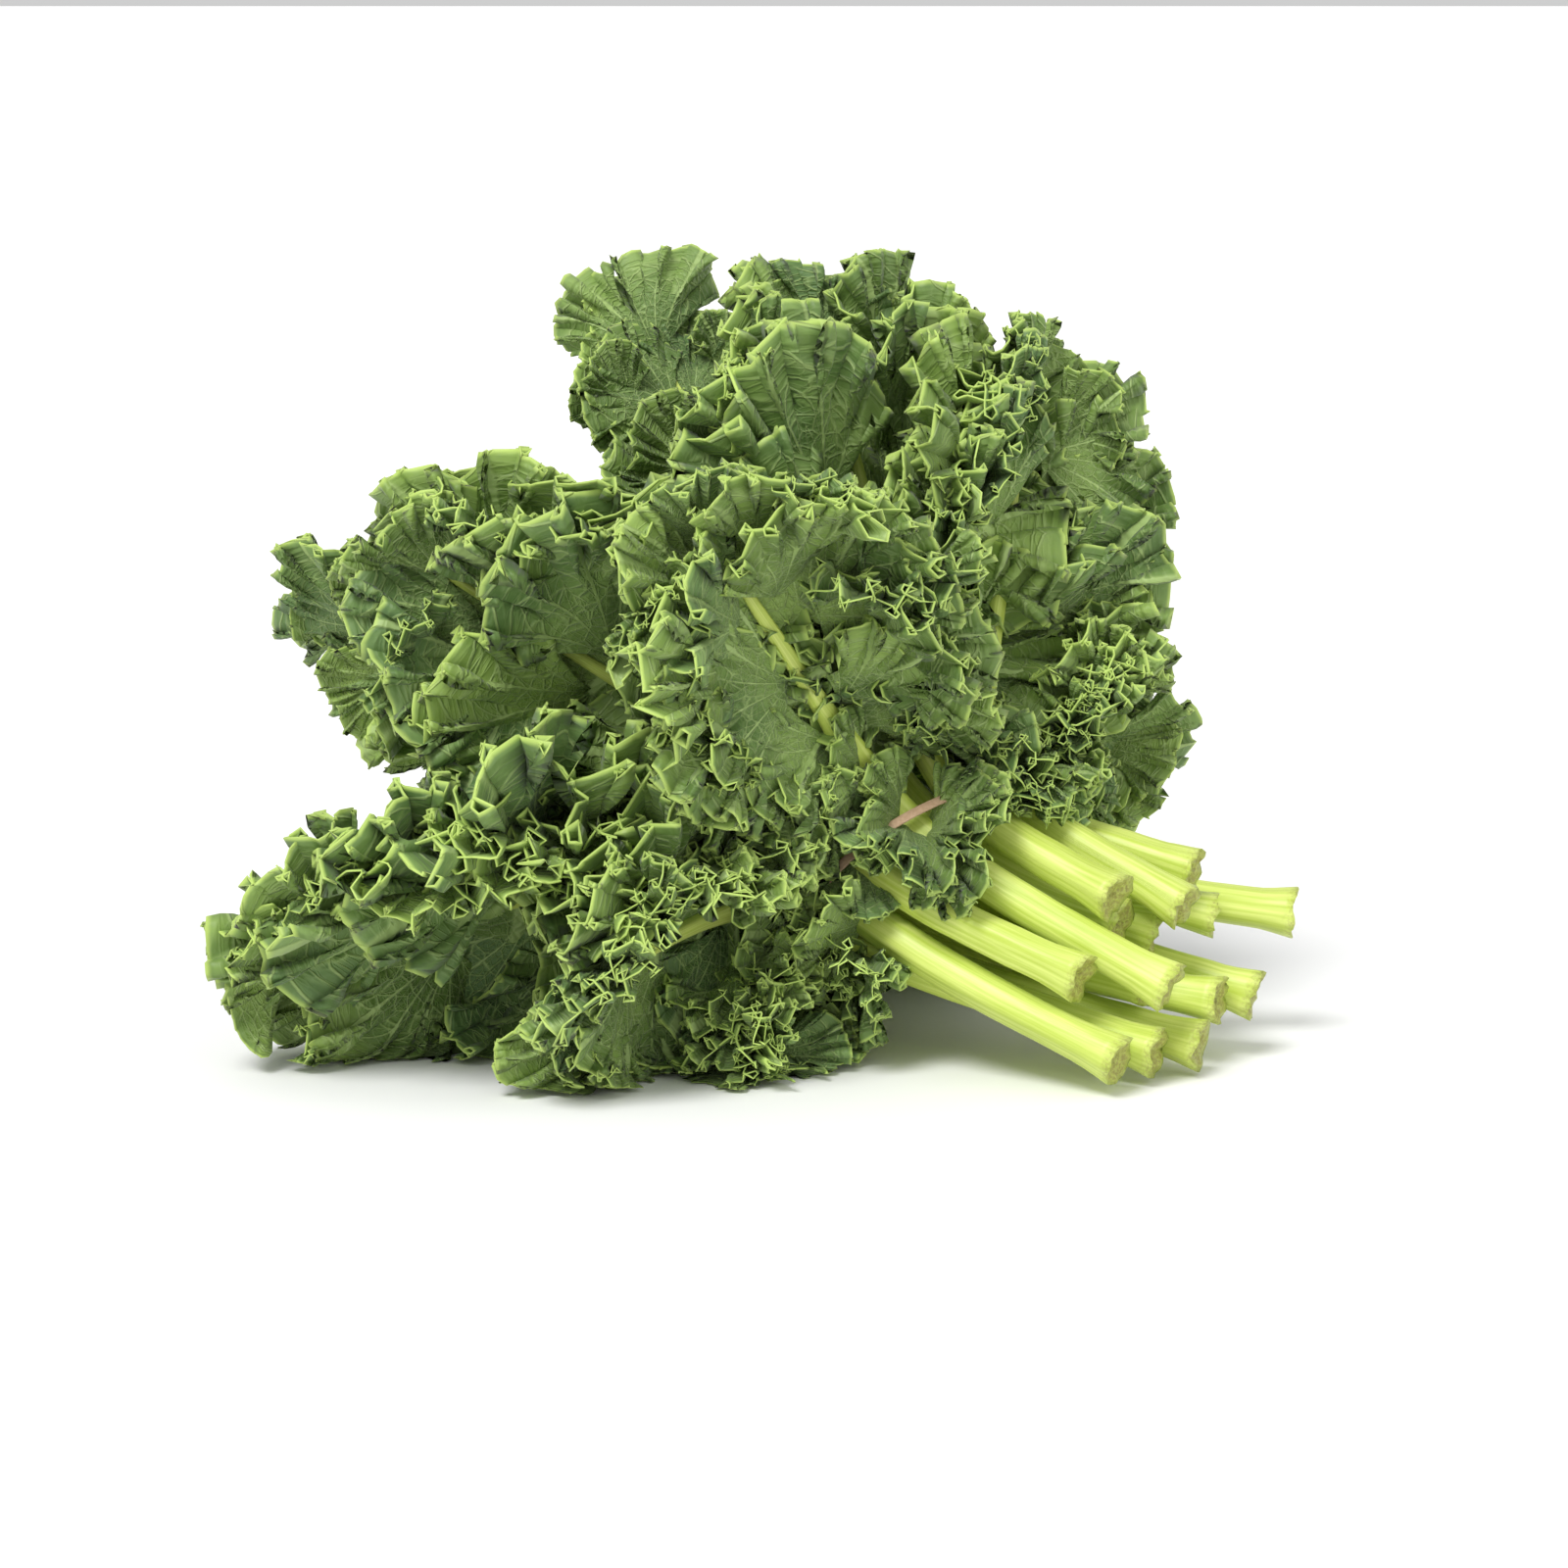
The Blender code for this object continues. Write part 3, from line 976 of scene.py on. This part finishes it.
@dataclass
class Stalk:
    """A stalk and the midrib it runs on into: one tapered, ridged rod with a rough cut end."""

    radius: float
    around: int = 26
    steps: int = 64
    ridge: float = 0.035
    cut_rings: int = 4

    def centres(self, line: list[Array], rib: Array) -> tuple[Array, Array]:
        """Evenly spaced middle points from the cut end to the midrib's tip.

        Args:
            line: The stalk's line, cut end first.
            rib: The midrib's line.

        Returns:
            The points, and how far along the whole each one is.
        """
        knots = np.concatenate([np.array(line[:-1]), rib])
        run = np.concatenate([[0.0], np.cumsum(np.linalg.norm(np.diff(knots, axis=0), axis=1))])
        even = np.linspace(0.0, run[-1], self.steps * 6)
        raw = np.stack([np.interp(even, run, knots[:, k]) for k in range(3)], axis=1)
        kernel = np.hanning(29)[1:-1]
        kernel /= kernel.sum()
        pad = len(kernel) // 2
        padded = np.concatenate(
            [2 * raw[0] - raw[pad:0:-1], raw, 2 * raw[-1] - raw[-2:-pad - 2:-1]]
        )
        smooth = np.stack([np.convolve(padded[:, k], kernel, "valid") for k in range(3)], axis=1)
        pick = np.linspace(0, len(even) - 1, self.steps).astype(int)
        return smooth[pick], even[pick]

    def build(
        self, name: str, line: list[Array], rib: Array, side: Array, rng: np.random.Generator
    ) -> bpy.types.Mesh:
        """The stalk as one closed mesh.

        Args:
            name: The mesh's name.
            line: The stalk's line, cut end first.
            rib: The midrib's line.
            side: The leaf's sideways direction.
            rng: The source of random numbers.

        Returns:
            The mesh, with how far along and whether cut as attributes.
        """
        centre, run = self.centres(line, rib)
        ahead = unit(np.gradient(centre, axis=0))
        across = unit(side - ahead * (ahead @ side)[:, None])
        out = unit(np.cross(across, ahead))
        foot = float(run[-1]) - np.linalg.norm(np.diff(rib, axis=0), axis=1).sum()
        size = np.interp(
            run,
            [0.0, 5 * MM, 12 * MM, 30 * MM, foot * 0.8, foot, foot + 25 * MM, run[-1]],
            np.array([1.32, 1.2, 1.06, 1.0, 0.97, 0.8, 0.5, 0.1]) * self.radius,
        )
        size = size * (1.0 + 0.025 * wander(run, 9 * MM, rng))
        angle = np.linspace(0, 2 * np.pi, self.around, endpoint=False)
        twist = rng.uniform(0, 6.3)
        shape = 1.0 + self.ridge * np.cos(5 * angle + twist) + 0.03 * np.cos(3 * angle + 2 * twist)
        groove = 1.0 - 0.16 * np.exp(-(((angle - 1.5 * np.pi) / 0.45) ** 2))
        ring = (shape * groove)[None, :] * size[:, None]
        points = (
            centre[:, None]
            + across[:, None] * (ring * np.cos(angle))[..., None]
            + out[:, None] * (ring * np.sin(angle))[..., None]
        )
        lip = wander(np.arange(self.around + 1.0), 1.3, rng)[:-1] * 1.3 * MM
        points[0] += ahead[0] * lip[:, None]
        caps = self.cut_face(points[0], centre[0], ahead[0], rng)
        grid = np.concatenate([caps, points])
        grid[..., 2] = np.maximum(grid[..., 2], TABLE_GAP)
        count = len(grid)
        index = np.arange(count * self.around).reshape(count, self.around)
        after = np.roll(index, -1, axis=1)
        quads = np.stack([index[:-1], after[:-1], after[1:], index[1:]], axis=-1).reshape(-1, 4)
        made = mesh_object(name, grid.reshape(-1, 3), quads.tolist())
        close_ends(made.data, index[0], index[-1])
        along = np.concatenate([np.full(len(caps), -1.0 * MM), run])
        numbers = {
            "run": np.repeat(along, self.around) / MM,
            "cut": np.repeat(np.r_[np.ones(len(caps)), np.zeros(self.steps)], self.around),
            "turn": np.tile(angle / (2 * np.pi), count),
        }
        write_numbers(made.data, numbers)
        return baked(made)

    def cut_face(self, rim: Array, centre: Array, ahead: Array, rng: np.random.Generator) -> Array:
        """Rings of the rough face where the stalk was cut, from its middle to its rim."""
        rings = []
        for k in range(self.cut_rings):
            share = 0.15 + 0.8 * k / self.cut_rings
            dip = (2.2 * (1.0 - share) + rng.uniform(-0.5, 0.5, self.around)) * MM
            rings.append(centre + (rim - centre) * share + ahead * dip[:, None])
        return np.array(rings)


def close_ends(mesh: bpy.types.Mesh, first: Array, last: Array) -> None:
    """Close a tube's two ends and turn its faces outwards."""
    shape = bmesh.new()
    shape.from_mesh(mesh)
    shape.verts.ensure_lookup_table()
    for ends in (first, last):
        shape.faces.new([shape.verts[int(i)] for i in ends])
    bmesh.ops.recalc_face_normals(shape, faces=shape.faces)
    for face in shape.faces:
        face.smooth = True
    shape.to_mesh(mesh)
    shape.free()


class Socket:
    """A shader value that takes Python's arithmetic."""

    def __init__(self, tree: "Nodes", socket: bpy.types.NodeSocket) -> None:
        """Wrap an output socket of a tree."""
        self.tree = tree
        self.socket = socket

    def math(self, operation: str, *values: "Socket | float") -> "Socket":
        """Apply a Math node to this value and others."""
        made = self.tree.make("ShaderNodeMath", {"operation": operation}, [self, *values])
        return Socket(self.tree, made.outputs[0])

    def __add__(self, other: "Socket | float") -> "Socket":
        """This value plus another."""
        return self.math("ADD", other)

    __radd__ = __add__

    def __mul__(self, other: "Socket | float") -> "Socket":
        """This value times another."""
        return self.math("MULTIPLY", other)

    __rmul__ = __mul__

    def __sub__(self, other: "Socket | float") -> "Socket":
        """This value minus another."""
        return self.math("SUBTRACT", other)

    def __rsub__(self, other: float) -> "Socket":
        """A number minus this value."""
        made = self.tree.make("ShaderNodeMath", {"operation": "SUBTRACT"}, [other, self])
        return Socket(self.tree, made.outputs[0])

    def step(self, low: float, high: float) -> "Socket":
        """Rise smoothly from 0 at low to 1 at high."""
        made = self.tree.make(
            "ShaderNodeMapRange",
            {"interpolation_type": "SMOOTHSTEP"},
            {"Value": self, "From Min": low, "From Max": high},
        )
        return Socket(self.tree, made.outputs[0])


class Nodes:
    """A material's node tree."""

    def __init__(self, name: str) -> None:
        """Start a material with a Principled BSDF."""
        self.material = bpy.data.materials.new(name)
        self.material.use_nodes = True
        self.tree = self.material.node_tree
        self.shader = self.tree.nodes["Principled BSDF"]

    def make(self, kind: str, settings: dict | None = None, values: dict | list | None = None):
        """Add a node.

        Args:
            kind: The node's type.
            settings: Its properties, set first.
            values: Its sockets' values or links, by name or in order.

        Returns:
            The node.
        """
        node = self.tree.nodes.new(kind)
        for key, value in (settings or {}).items():
            setattr(node, key, value)
        pairs = values.items() if isinstance(values, dict) else enumerate(values or [])
        for key, value in pairs:
            self.feed(node.inputs[key], value)
        return node

    def feed(self, socket: bpy.types.NodeSocket, value: object) -> None:
        """Set a socket to a value or link it."""
        if isinstance(value, Socket):
            self.tree.links.new(value.socket, socket)
        else:
            socket.default_value = value

    def attribute(self, name: str) -> Socket:
        """One of the mesh's own numbers."""
        made = self.make("ShaderNodeAttribute", {"attribute_name": name})
        return Socket(self, made.outputs["Fac"])

    def place(self) -> Socket:
        """Object coordinates."""
        return Socket(self, self.make("ShaderNodeTexCoord").outputs["Object"])

    def join(self, x: Socket | float, y: Socket | float, z: Socket | float) -> Socket:
        """Three values as a vector."""
        return Socket(self, self.make("ShaderNodeCombineXYZ", {}, [x, y, z]).outputs[0])

    def noise(self, where: Socket, scale: float, detail: float = 2.0) -> Socket:
        """Soft noise."""
        made = self.make(
            "ShaderNodeTexNoise", {}, {"Vector": where, "Scale": scale, "Detail": detail}
        )
        return Socket(self, made.outputs["Fac"])

    def cracks(self, where: Socket, scale: float) -> Socket:
        """Distance to the borders between irregular cells."""
        values = {"Vector": where, "Scale": scale}
        made = self.make("ShaderNodeTexVoronoi", {"feature": "DISTANCE_TO_EDGE"}, values)
        return Socket(self, made.outputs["Distance"])

    def blend(self, amount: Socket | float, low: object, high: object) -> Socket:
        """Mix two colours."""
        made = self.make("ShaderNodeMix", {"data_type": "RGBA"})
        self.feed(made.inputs[0], amount)
        self.feed(made.inputs[6], low)
        self.feed(made.inputs[7], high)
        return Socket(self, made.outputs[2])

    def bump(self, height: Socket, distance: float, strength: float = 1.0) -> Socket:
        """Raise the surface where a value is high."""
        made = self.make(
            "ShaderNodeBump", {}, {"Height": height, "Distance": distance, "Strength": strength}
        )
        return Socket(self, made.outputs[0])

    def finish(self, colour: Socket, roughness: Socket | float, normal: Socket) -> None:
        """Feed the shader's main sockets."""
        self.feed(self.shader.inputs["Base Color"], colour)
        self.feed(self.shader.inputs["Roughness"], roughness)
        self.feed(self.shader.inputs["Normal"], normal)

    def fixed(self, **values: float) -> None:
        """Set the shader's other sockets, by their names with underscores."""
        for key, value in values.items():
            self.shader.inputs[key.replace("_", " ")].default_value = value


Colour = tuple[float, float, float, float]


def colour(red: float, green: float, blue: float) -> Colour:
    """A colour with full alpha."""
    return (red, green, blue, 1.0)


@dataclass(frozen=True)
class LeafFinish:
    """A leaf's side: its greens, its network of veins, its bright frilled rim, which is painted
    light glowing through the thin margin, and painted highlights on its frill crests.
    """

    name: str
    deep: Colour
    # the lighter green of random patches, also used for the painted highlight on frill crests
    light: Colour
    vein: Colour
    # painted glow: the margin's bright colour stands in for light shining through the thin edge
    rim: Colour
    bloom: Colour
    cool: Colour
    roughness: float
    vein_height: float
    vein_strength: float

    def make(self) -> bpy.types.Material:
        """Build the material."""
        nodes = Nodes(self.name)
        edge, vein = nodes.attribute("edge"), nodes.attribute("vein")
        flat = nodes.join(nodes.attribute("flat_x"), nodes.attribute("flat_y"), 0.0)
        place = nodes.place()
        patches = nodes.noise(place, 26.0, 3.0)
        speckle = nodes.noise(place, 420.0, 2.0)
        main = self.main_veins(vein, edge)
        branch = self.branches(vein, edge)
        net = 1.0 - nodes.cracks(flat, 0.22).step(0.0, 0.09)
        mesh_veins = 1.0 - nodes.cracks(flat, 0.55).step(0.0, 0.12)
        inner = 1.0 - edge.step(0.8, 0.98)
        lines = (main + branch * 0.75 + net * inner * 0.6 + mesh_veins * inner * 0.2).math(
            "MINIMUM", 1.0
        )
        base = nodes.blend(patches.step(0.35, 0.68), self.deep, self.light)
        # Painted highlight and shade: points thrown out by the frills (lift) are painted lighter as
        # if lit on their crests, and the troughs stay darker as painted shade.
        base = nodes.blend(nodes.attribute("lift").step(-0.5, 1.2) * 0.35, base, self.light)
        base = nodes.blend(nodes.attribute("tint").step(0.35, 1.0) * 0.5, base, self.cool)
        base = nodes.blend(speckle.step(0.45, 0.8) * 0.25, base, self.bloom)
        base = nodes.blend(lines * self.vein_strength, base, self.vein)
        # Painted light: the outermost margin is painted bright yellow-green, standing in for light
        # glowing through the thin edge.
        rim = edge.step(0.965, 1.0) * (0.55 + 0.45 * patches)
        base = nodes.blend(rim, base, self.rim)
        pucker = nodes.cracks(flat, 0.3).step(0.0, 0.4)
        height = lines * self.vein_height + pucker * 0.5 + speckle * 0.06
        nodes.finish(base, self.roughness, nodes.bump(height, 0.0011, 0.7))
        nodes.fixed(Sheen_Weight=0.12, Specular_IOR_Level=0.38, Subsurface_Weight=0.0)
        return nodes.material

    @staticmethod
    def main_veins(vein: Socket, edge: Socket) -> Socket:
        """The side veins that leave the midrib, thinner towards the margin."""
        off = (vein.math("FRACT") - 0.5).math("ABSOLUTE")
        away = 0.5 - off
        width = 0.075 - edge * 0.05
        return 1.0 - away.math("DIVIDE", width).step(0.5, 1.2)

    @staticmethod
    def branches(vein: Socket, edge: Socket) -> Socket:
        """Finer veins that fork from the side veins."""
        spread = (vein.math("FRACT") - 0.5).math("ABSOLUTE")
        wave = (spread * 3.2 + edge * 5.0).math("FRACT")
        off = (wave - 0.5).math("ABSOLUTE")
        return (1.0 - off.step(0.02, 0.07)) * edge.step(0.08, 0.3)


@dataclass(frozen=True)
class StalkFinish:
    """Pale green stalk with lighter ridges, and a rough yellow-brown cut."""

    name: str
    green: Colour
    cream: Colour
    cut: Colour
    brown: Colour
    roughness: float

    def make(self) -> bpy.types.Material:
        """Build the material."""
        nodes = Nodes(self.name)
        run, turn = nodes.attribute("run"), nodes.attribute("turn")
        place = nodes.place()
        stripes = nodes.noise(nodes.join(run * 0.012, (turn * 6.2832).math("SINE") * 2.2,
                                         (turn * 6.2832).math("COSINE") * 2.2), 2.2, 4.0)
        fibres = nodes.noise(nodes.join(run * 0.03, (turn * 6.2832).math("SINE") * 9.0,
                                        (turn * 6.2832).math("COSINE") * 9.0), 2.0, 2.0)
        base = nodes.blend(stripes.step(0.25, 0.85), self.green, self.cream)
        cut = nodes.attribute("cut")
        grain = nodes.noise(place, 900.0, 3.0)
        rough_cut = nodes.blend(grain.step(0.35, 0.7), self.brown, self.cut)
        near_cut = (1.0 - run.step(0.0, 5.0)) * grain.step(0.4, 0.7)
        base = nodes.blend(near_cut * 0.6, base, self.brown)
        base = nodes.blend(cut, base, rough_cut)
        height = fibres * 0.2 + stripes * 0.3 + grain * cut * 3.0
        nodes.finish(base, self.roughness, nodes.bump(height, 0.0006, 0.6))
        nodes.fixed(Specular_IOR_Level=0.45, Subsurface_Weight=0.0)
        return nodes.material


@dataclass(frozen=True)
class PlainFinish:
    """A nearly even finish with fine grain, for the band and the table."""

    name: str
    dark: Colour
    pale: Colour
    roughness: float
    grain: float

    def make(self) -> bpy.types.Material:
        """Build the material."""
        nodes = Nodes(self.name)
        grain = nodes.noise(nodes.place(), self.grain, 3.0)
        base = nodes.blend(grain.step(0.3, 0.7), self.dark, self.pale)
        nodes.finish(base, self.roughness, nodes.bump(grain, 0.0002, 0.3))
        return nodes.material


# Each side's fourth colour is the painted glow of light through the thin margin; its second colour
# also paints the highlight on frill crests.
UNDERSIDE = LeafFinish(
    "leaf_underside", colour(0.085, 0.16, 0.022), colour(0.285, 0.42, 0.09),
    colour(0.42, 0.56, 0.2), colour(0.56, 0.74, 0.17), colour(0.24, 0.34, 0.14),
    colour(0.085, 0.175, 0.07), 0.5, 1.1, 0.7,
)
UPPER_SIDE = LeafFinish(
    "leaf_upper", colour(0.03, 0.078, 0.012), colour(0.105, 0.2, 0.03),
    colour(0.2, 0.32, 0.09), colour(0.6, 0.78, 0.18), colour(0.12, 0.2, 0.09),
    colour(0.03, 0.095, 0.045), 0.42, -0.8, 0.55,
)
STALK_FINISH = StalkFinish(
    "stalk_skin", colour(0.5, 0.63, 0.08), colour(0.78, 0.87, 0.25), colour(0.5, 0.56, 0.12),
    colour(0.33, 0.31, 0.07), 0.4,
)
BAND_FINISH = PlainFinish(
    "band_rubber", colour(0.56, 0.36, 0.22), colour(0.66, 0.45, 0.29), 0.6, 900.0
)
TABLE_FINISH = PlainFinish("table", colour(0.94, 0.94, 0.94), colour(0.95, 0.95, 0.95), 0.9, 3.0)


@dataclass
class KaleLeaf:
    """One leaf: its stalk and midrib, and its frilled blade."""

    name: str
    plan: LeafPlan
    fan: Fan
    seed: int
    layers: int = 2
    lobed_part: tuple[float, float] = (0.02, 0.78)
    fan_angles: tuple[float, float] = (84.0, 34.0)
    least_tilt: float = 10.0
    most_tilt: float = 46.0
    layer_tilt: float = 36.0
    most_twist: float = 34.0
    probe: float = 5.0

    def rib_line(self, count: int = 40) -> Array:
        """The midrib's middle line, just proud of the blade's underside."""
        reach = self.plan.reach * MM
        start = self.fan.blade_start
        distance = np.linspace(start, start + (reach - start) * 0.96, count)
        share = np.linspace(0, 1, count)
        outward = self.plan.stalk * MM * (0.45 * (1 - share) ** 1.5 + 0.03)
        return self.fan.points(self.plan, distance, np.zeros(count), outward)

    def roots(self, rng: np.random.Generator) -> list[Root]:
        """Roots for the blade's lobes, in two shingled rows along each side of the midrib."""
        plan, start = self.plan, self.fan.blade_start / MM
        length = plan.reach - start
        roots = []
        for layer in range(self.layers):
            count = plan.lobes - layer
            first, span = self.lobed_part
            wide, narrow = self.fan_angles
            for i in range(count):
                share = (i + 0.5 * layer + rng.uniform(0.0, 0.4)) / count
                for side in (1.0, -1.0):
                    along = start + length * (first + span * share)
                    turned = wide - (wide - narrow) * share + rng.uniform(-12, 12)
                    fan_angle = math.radians(turned)
                    half = plan.width / 2 * (0.55 + 0.5 * math.sin(math.pi * (0.12 + 0.8 * share)))
                    offset = half * (0.06 + 0.3 * layer + rng.uniform(0.0, 0.2))
                    raised = rng.uniform(self.least_tilt, self.most_tilt) + self.layer_tilt * layer
                    tilt = math.radians(raised) * plan.frill
                    size = half * (0.9 - 0.2 * layer) / LOBE_REACH * rng.uniform(0.88, 1.12)
                    roots.append(self.root(along, side * offset, side * fan_angle, tilt, size, rng))
        tip_size = (0.2 * length + 8.0) / LOBE_REACH
        roots.append(self.root(start + length * 0.8, 0.0, 0.0, 0.3, tip_size, rng))
        return roots

    def root(self, along: float, across: float, fan_angle: float, tilt: float, size: float,
             rng: np.random.Generator) -> Root:
        """One lobe's root on the leaf.

        Args:
            along: How far from the band's middle, in millimetres.
            across: How far from the midrib.
            fan_angle: The way the lobe spreads, from the midrib's own direction.
            tilt: How far it stands up from the leaf.
            size: Its size.
            rng: The source of random numbers.

        Returns:
            The root.
        """
        reach = self.probe
        ahead_along = along + reach * math.cos(fan_angle) * math.cos(tilt)
        ahead_across = across + reach * math.sin(fan_angle) * math.cos(tilt)
        places = self.fan.points(
            self.plan,
            np.array([along, ahead_along, along]) * MM,
            np.array([across, ahead_across, across]) * MM,
            np.array([0.0, reach * math.sin(tilt), reach]) * MM,
        )
        ahead, out = unit(places[1] - places[0]), unit(places[2] - places[0])
        aside = np.cross(out, ahead)
        twist = math.radians(rng.uniform(-self.most_twist, self.most_twist))
        facing = out * math.cos(twist) + aside * math.sin(twist)
        return Root(places[0], ahead, facing, size, float(rng.uniform(0, 1)))

    def leaflets(self, line: list[Array], rng: np.random.Generator) -> list[Root]:
        """Small lobes on the upper stalk, pointing outwards and to the bunch's front."""
        roots = []
        axis, tie = self.fan.axis, self.fan.tie
        to_front = np.array([0.0, -0.7, 0.0])
        stations = np.arange(len(line))
        for _ in range(self.plan.leaflets):
            station = len(line) - 1 - rng.uniform(0.0, 3.6)
            place = np.array([np.interp(station, stations, np.array(line)[:, k]) for k in range(3)])
            out = unit(place - tie - axis * float((place - tie) @ axis))
            down_stalk = -axis * rng.uniform(-0.4, 0.8)
            aside = np.cross(axis, out) * rng.uniform(-0.8, 0.8)
            ahead = unit(out * 0.5 + to_front + down_stalk + aside)
            size = rng.uniform(0.5, 0.8)
            roots.append(Root(place, ahead, out - axis * 0.6, size, float(rng.uniform(0, 1))))
        return roots

    def add(self, line: list[Array], skins: list[bpy.types.Material],
            stalk_skin: bpy.types.Material, grower: LobeGrower) -> None:
        """Build the meshes and add them.

        Args:
            line: The stalk's eased line.
            skins: The underside's and the upper side's materials.
            stalk_skin: The stalk's material.
            grower: Sets the blade's lobes.
        """
        rng = np.random.default_rng(self.seed)
        start = self.fan.blade_start
        plan = self.plan

        def place(along: Array, across: Array, out: Array) -> Array:
            return self.fan.in_room(self.fan.points(plan, start + along, across, out))

        length = plan.reach - start / MM
        blade = Blade(length=length, width=plan.width, roll=plan.roll, frill=plan.frill)
        mesh = blade.build(f"{self.name}_blade", place, rng)
        finish_piece(f"{self.name}_blade", mesh, skins, self.name)
        if plan.lobes:
            roots = self.roots(rng) + self.leaflets(line, rng)
            mesh = grower.grow(f"{self.name}_lobes", roots, rng)
            points = np.empty(len(mesh.vertices) * 3, dtype=np.float32)
            mesh.vertices.foreach_get("co", points)
            points = self.fan.in_room(points.reshape(-1, 3).astype(float))
            mesh.vertices.foreach_set("co", points.astype(np.float32).ravel())
            mesh.update()
            finish_piece(f"{self.name}_lobes", mesh, skins, self.name)
        turn = math.radians(plan.turn)
        side = self.fan.left * math.cos(turn) - self.fan.up * math.sin(turn)
        stalk = Stalk(plan.stalk * MM)
        mesh = stalk.build(f"{self.name}_stalk", line, self.rib_line(), side, rng)
        finish_piece(f"{self.name}_stalk", mesh, [stalk_skin], self.name)


@dataclass
class RubberBand:
    """The flat band around the stalks."""

    fan: Fan
    wide: float = 3.6 * MM
    thick: float = 1.1 * MM
    points: int = 160

    def add(self, skin: bpy.types.Material) -> None:
        """Build the band and add it."""
        fan = self.fan
        angle = np.linspace(0, 2 * np.pi, self.points, endpoint=False)
        middle = (
            fan.band_middle
            + fan.band_right * (fan.band_half_width * np.cos(angle))[:, None]
            + fan.band_up * (fan.band_half_height * np.sin(angle))[:, None]
        )
        outward = unit(middle - fan.band_middle)
        slots = np.linspace(0, 2 * np.pi, 12, endpoint=False)
        flat = np.sign(np.cos(slots)) * np.abs(np.cos(slots)) ** 0.6 * self.wide / 2
        deep = np.sin(slots) * self.thick / 2
        ripple = 0.4 * MM * np.sin(3 * angle + 1.0)
        points = (
            middle[:, None]
            + (fan.axis * flat[:, None])[None]
            + outward[:, None] * deep[None, :, None]
            + fan.axis * ripple[:, None, None]
        )
        index = np.arange(self.points * 12).reshape(self.points, 12)
        ahead, beside = np.roll(index, -1, axis=0), np.roll(index, -1, axis=1)
        quads = np.stack([index, ahead, np.roll(ahead, -1, axis=1), beside], axis=-1)
        made = mesh_object("rubber_band_loop", points.reshape(-1, 3), quads.reshape(-1, 4).tolist())
        turn_outwards(made.data)
        finish_piece("rubber_band_loop", baked(made), [skin], "rubber_band")


def turn_outwards(mesh: bpy.types.Mesh) -> None:
    """Point every face of a closed mesh outwards."""
    shape = bmesh.new()
    shape.from_mesh(mesh)
    bmesh.ops.recalc_face_normals(shape, faces=shape.faces)
    shape.to_mesh(mesh)
    shape.free()


@dataclass
class Studio:
    """The table, the soft lights and the camera."""

    floor_size: float = 400.0
    elevation: float = 10.0
    distance: float = 1.5
    lens: float = 102.3
    aim: tuple[float, float, float] = (0.0056, -0.0475, 0.09)

    def add_table(self) -> None:
        """A plain pale table under the bunch."""
        bpy.ops.mesh.primitive_plane_add(size=self.floor_size)
        floor = bpy.context.object
        floor.name = "table"
        floor.data.materials.append(TABLE_FINISH.make())

    def add_sun(self, name: str, place: tuple, spread: float, strength: float) -> None:
        """A broad, soft, even light from one side.

        Args:
            name: The light's name.
            place: A point in the direction that the light comes from.
            spread: How wide the light looks from the bunch, in degrees.
            strength: How bright it is.
        """
        data = bpy.data.lights.new(name, "SUN")
        data.angle = math.radians(spread)
        data.energy = strength
        lamp = bpy.data.objects.new(name, data)
        lamp.location = place
        lamp.rotation_euler = self.facing(place, (0.0, 0.0, 0.0))
        bpy.context.scene.collection.objects.link(lamp)

    @staticmethod
    def facing(place: tuple, target: tuple) -> tuple:
        """The turn that points an object's -Z axis at a target."""
        return (Vector(target) - Vector(place)).to_track_quat("-Z", "Y").to_euler()

    def add_camera(self) -> None:
        """The camera, level with the bunch and a little above."""
        data = bpy.data.cameras.new("camera")
        data.lens = self.lens
        camera = bpy.data.objects.new("camera", data)
        tilt = math.radians(self.elevation)
        camera.location = (
            self.aim[0],
            self.aim[1] - self.distance * math.cos(tilt),
            self.aim[2] + self.distance * math.sin(tilt),
        )
        camera.rotation_euler = (math.radians(90 - self.elevation), 0.0, 0.0)
        bpy.context.scene.collection.objects.link(camera)
        bpy.context.scene.camera = camera

    def add_world(self) -> None:
        """An even white surround."""
        world = bpy.data.worlds.new("surround")
        world.use_nodes = True
        world.node_tree.nodes["Background"].inputs["Color"].default_value = (1, 1, 1, 1)
        world.node_tree.nodes["Background"].inputs["Strength"].default_value = 0.62
        bpy.context.scene.world = world
        bpy.context.scene.view_settings.view_transform = "Standard"

    def add(self) -> None:
        """Set the whole studio up."""
        self.add_table()
        self.add_world()
        self.add_sun("key", (-0.5, -0.9, 1.4), 24.0, 2.3)
        self.add_sun("side", (1.4, -0.8, 0.9), 60.0, 0.5)
        self.add_camera()


def write_sizes() -> None:
    """Update the view layer once the pieces are added."""
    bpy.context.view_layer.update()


def main() -> None:
    """Build the bunch and its studio."""
    logging.basicConfig(level=logging.INFO, format="%(message)s")
    fan = Fan()
    lines = fan.eased_lines(PLANS)
    skins = [UNDERSIDE.make(), UPPER_SIDE.make()]
    stalk_skin = STALK_FINISH.make()
    lobes = ready_lobes(skins)
    grower = LobeGrower(lobes, skins[1])
    for seed, (name, plan) in enumerate(PLANS.items(), start=FIRST_LEAF_SEED):
        KaleLeaf(name, plan, fan, seed).add(lines[name], skins, stalk_skin, grower)
    remove_lobes(lobes)
    RubberBand(fan).add(BAND_FINISH.make())
    Studio().add()
    write_sizes()


if __name__ == "__main__":
    main()
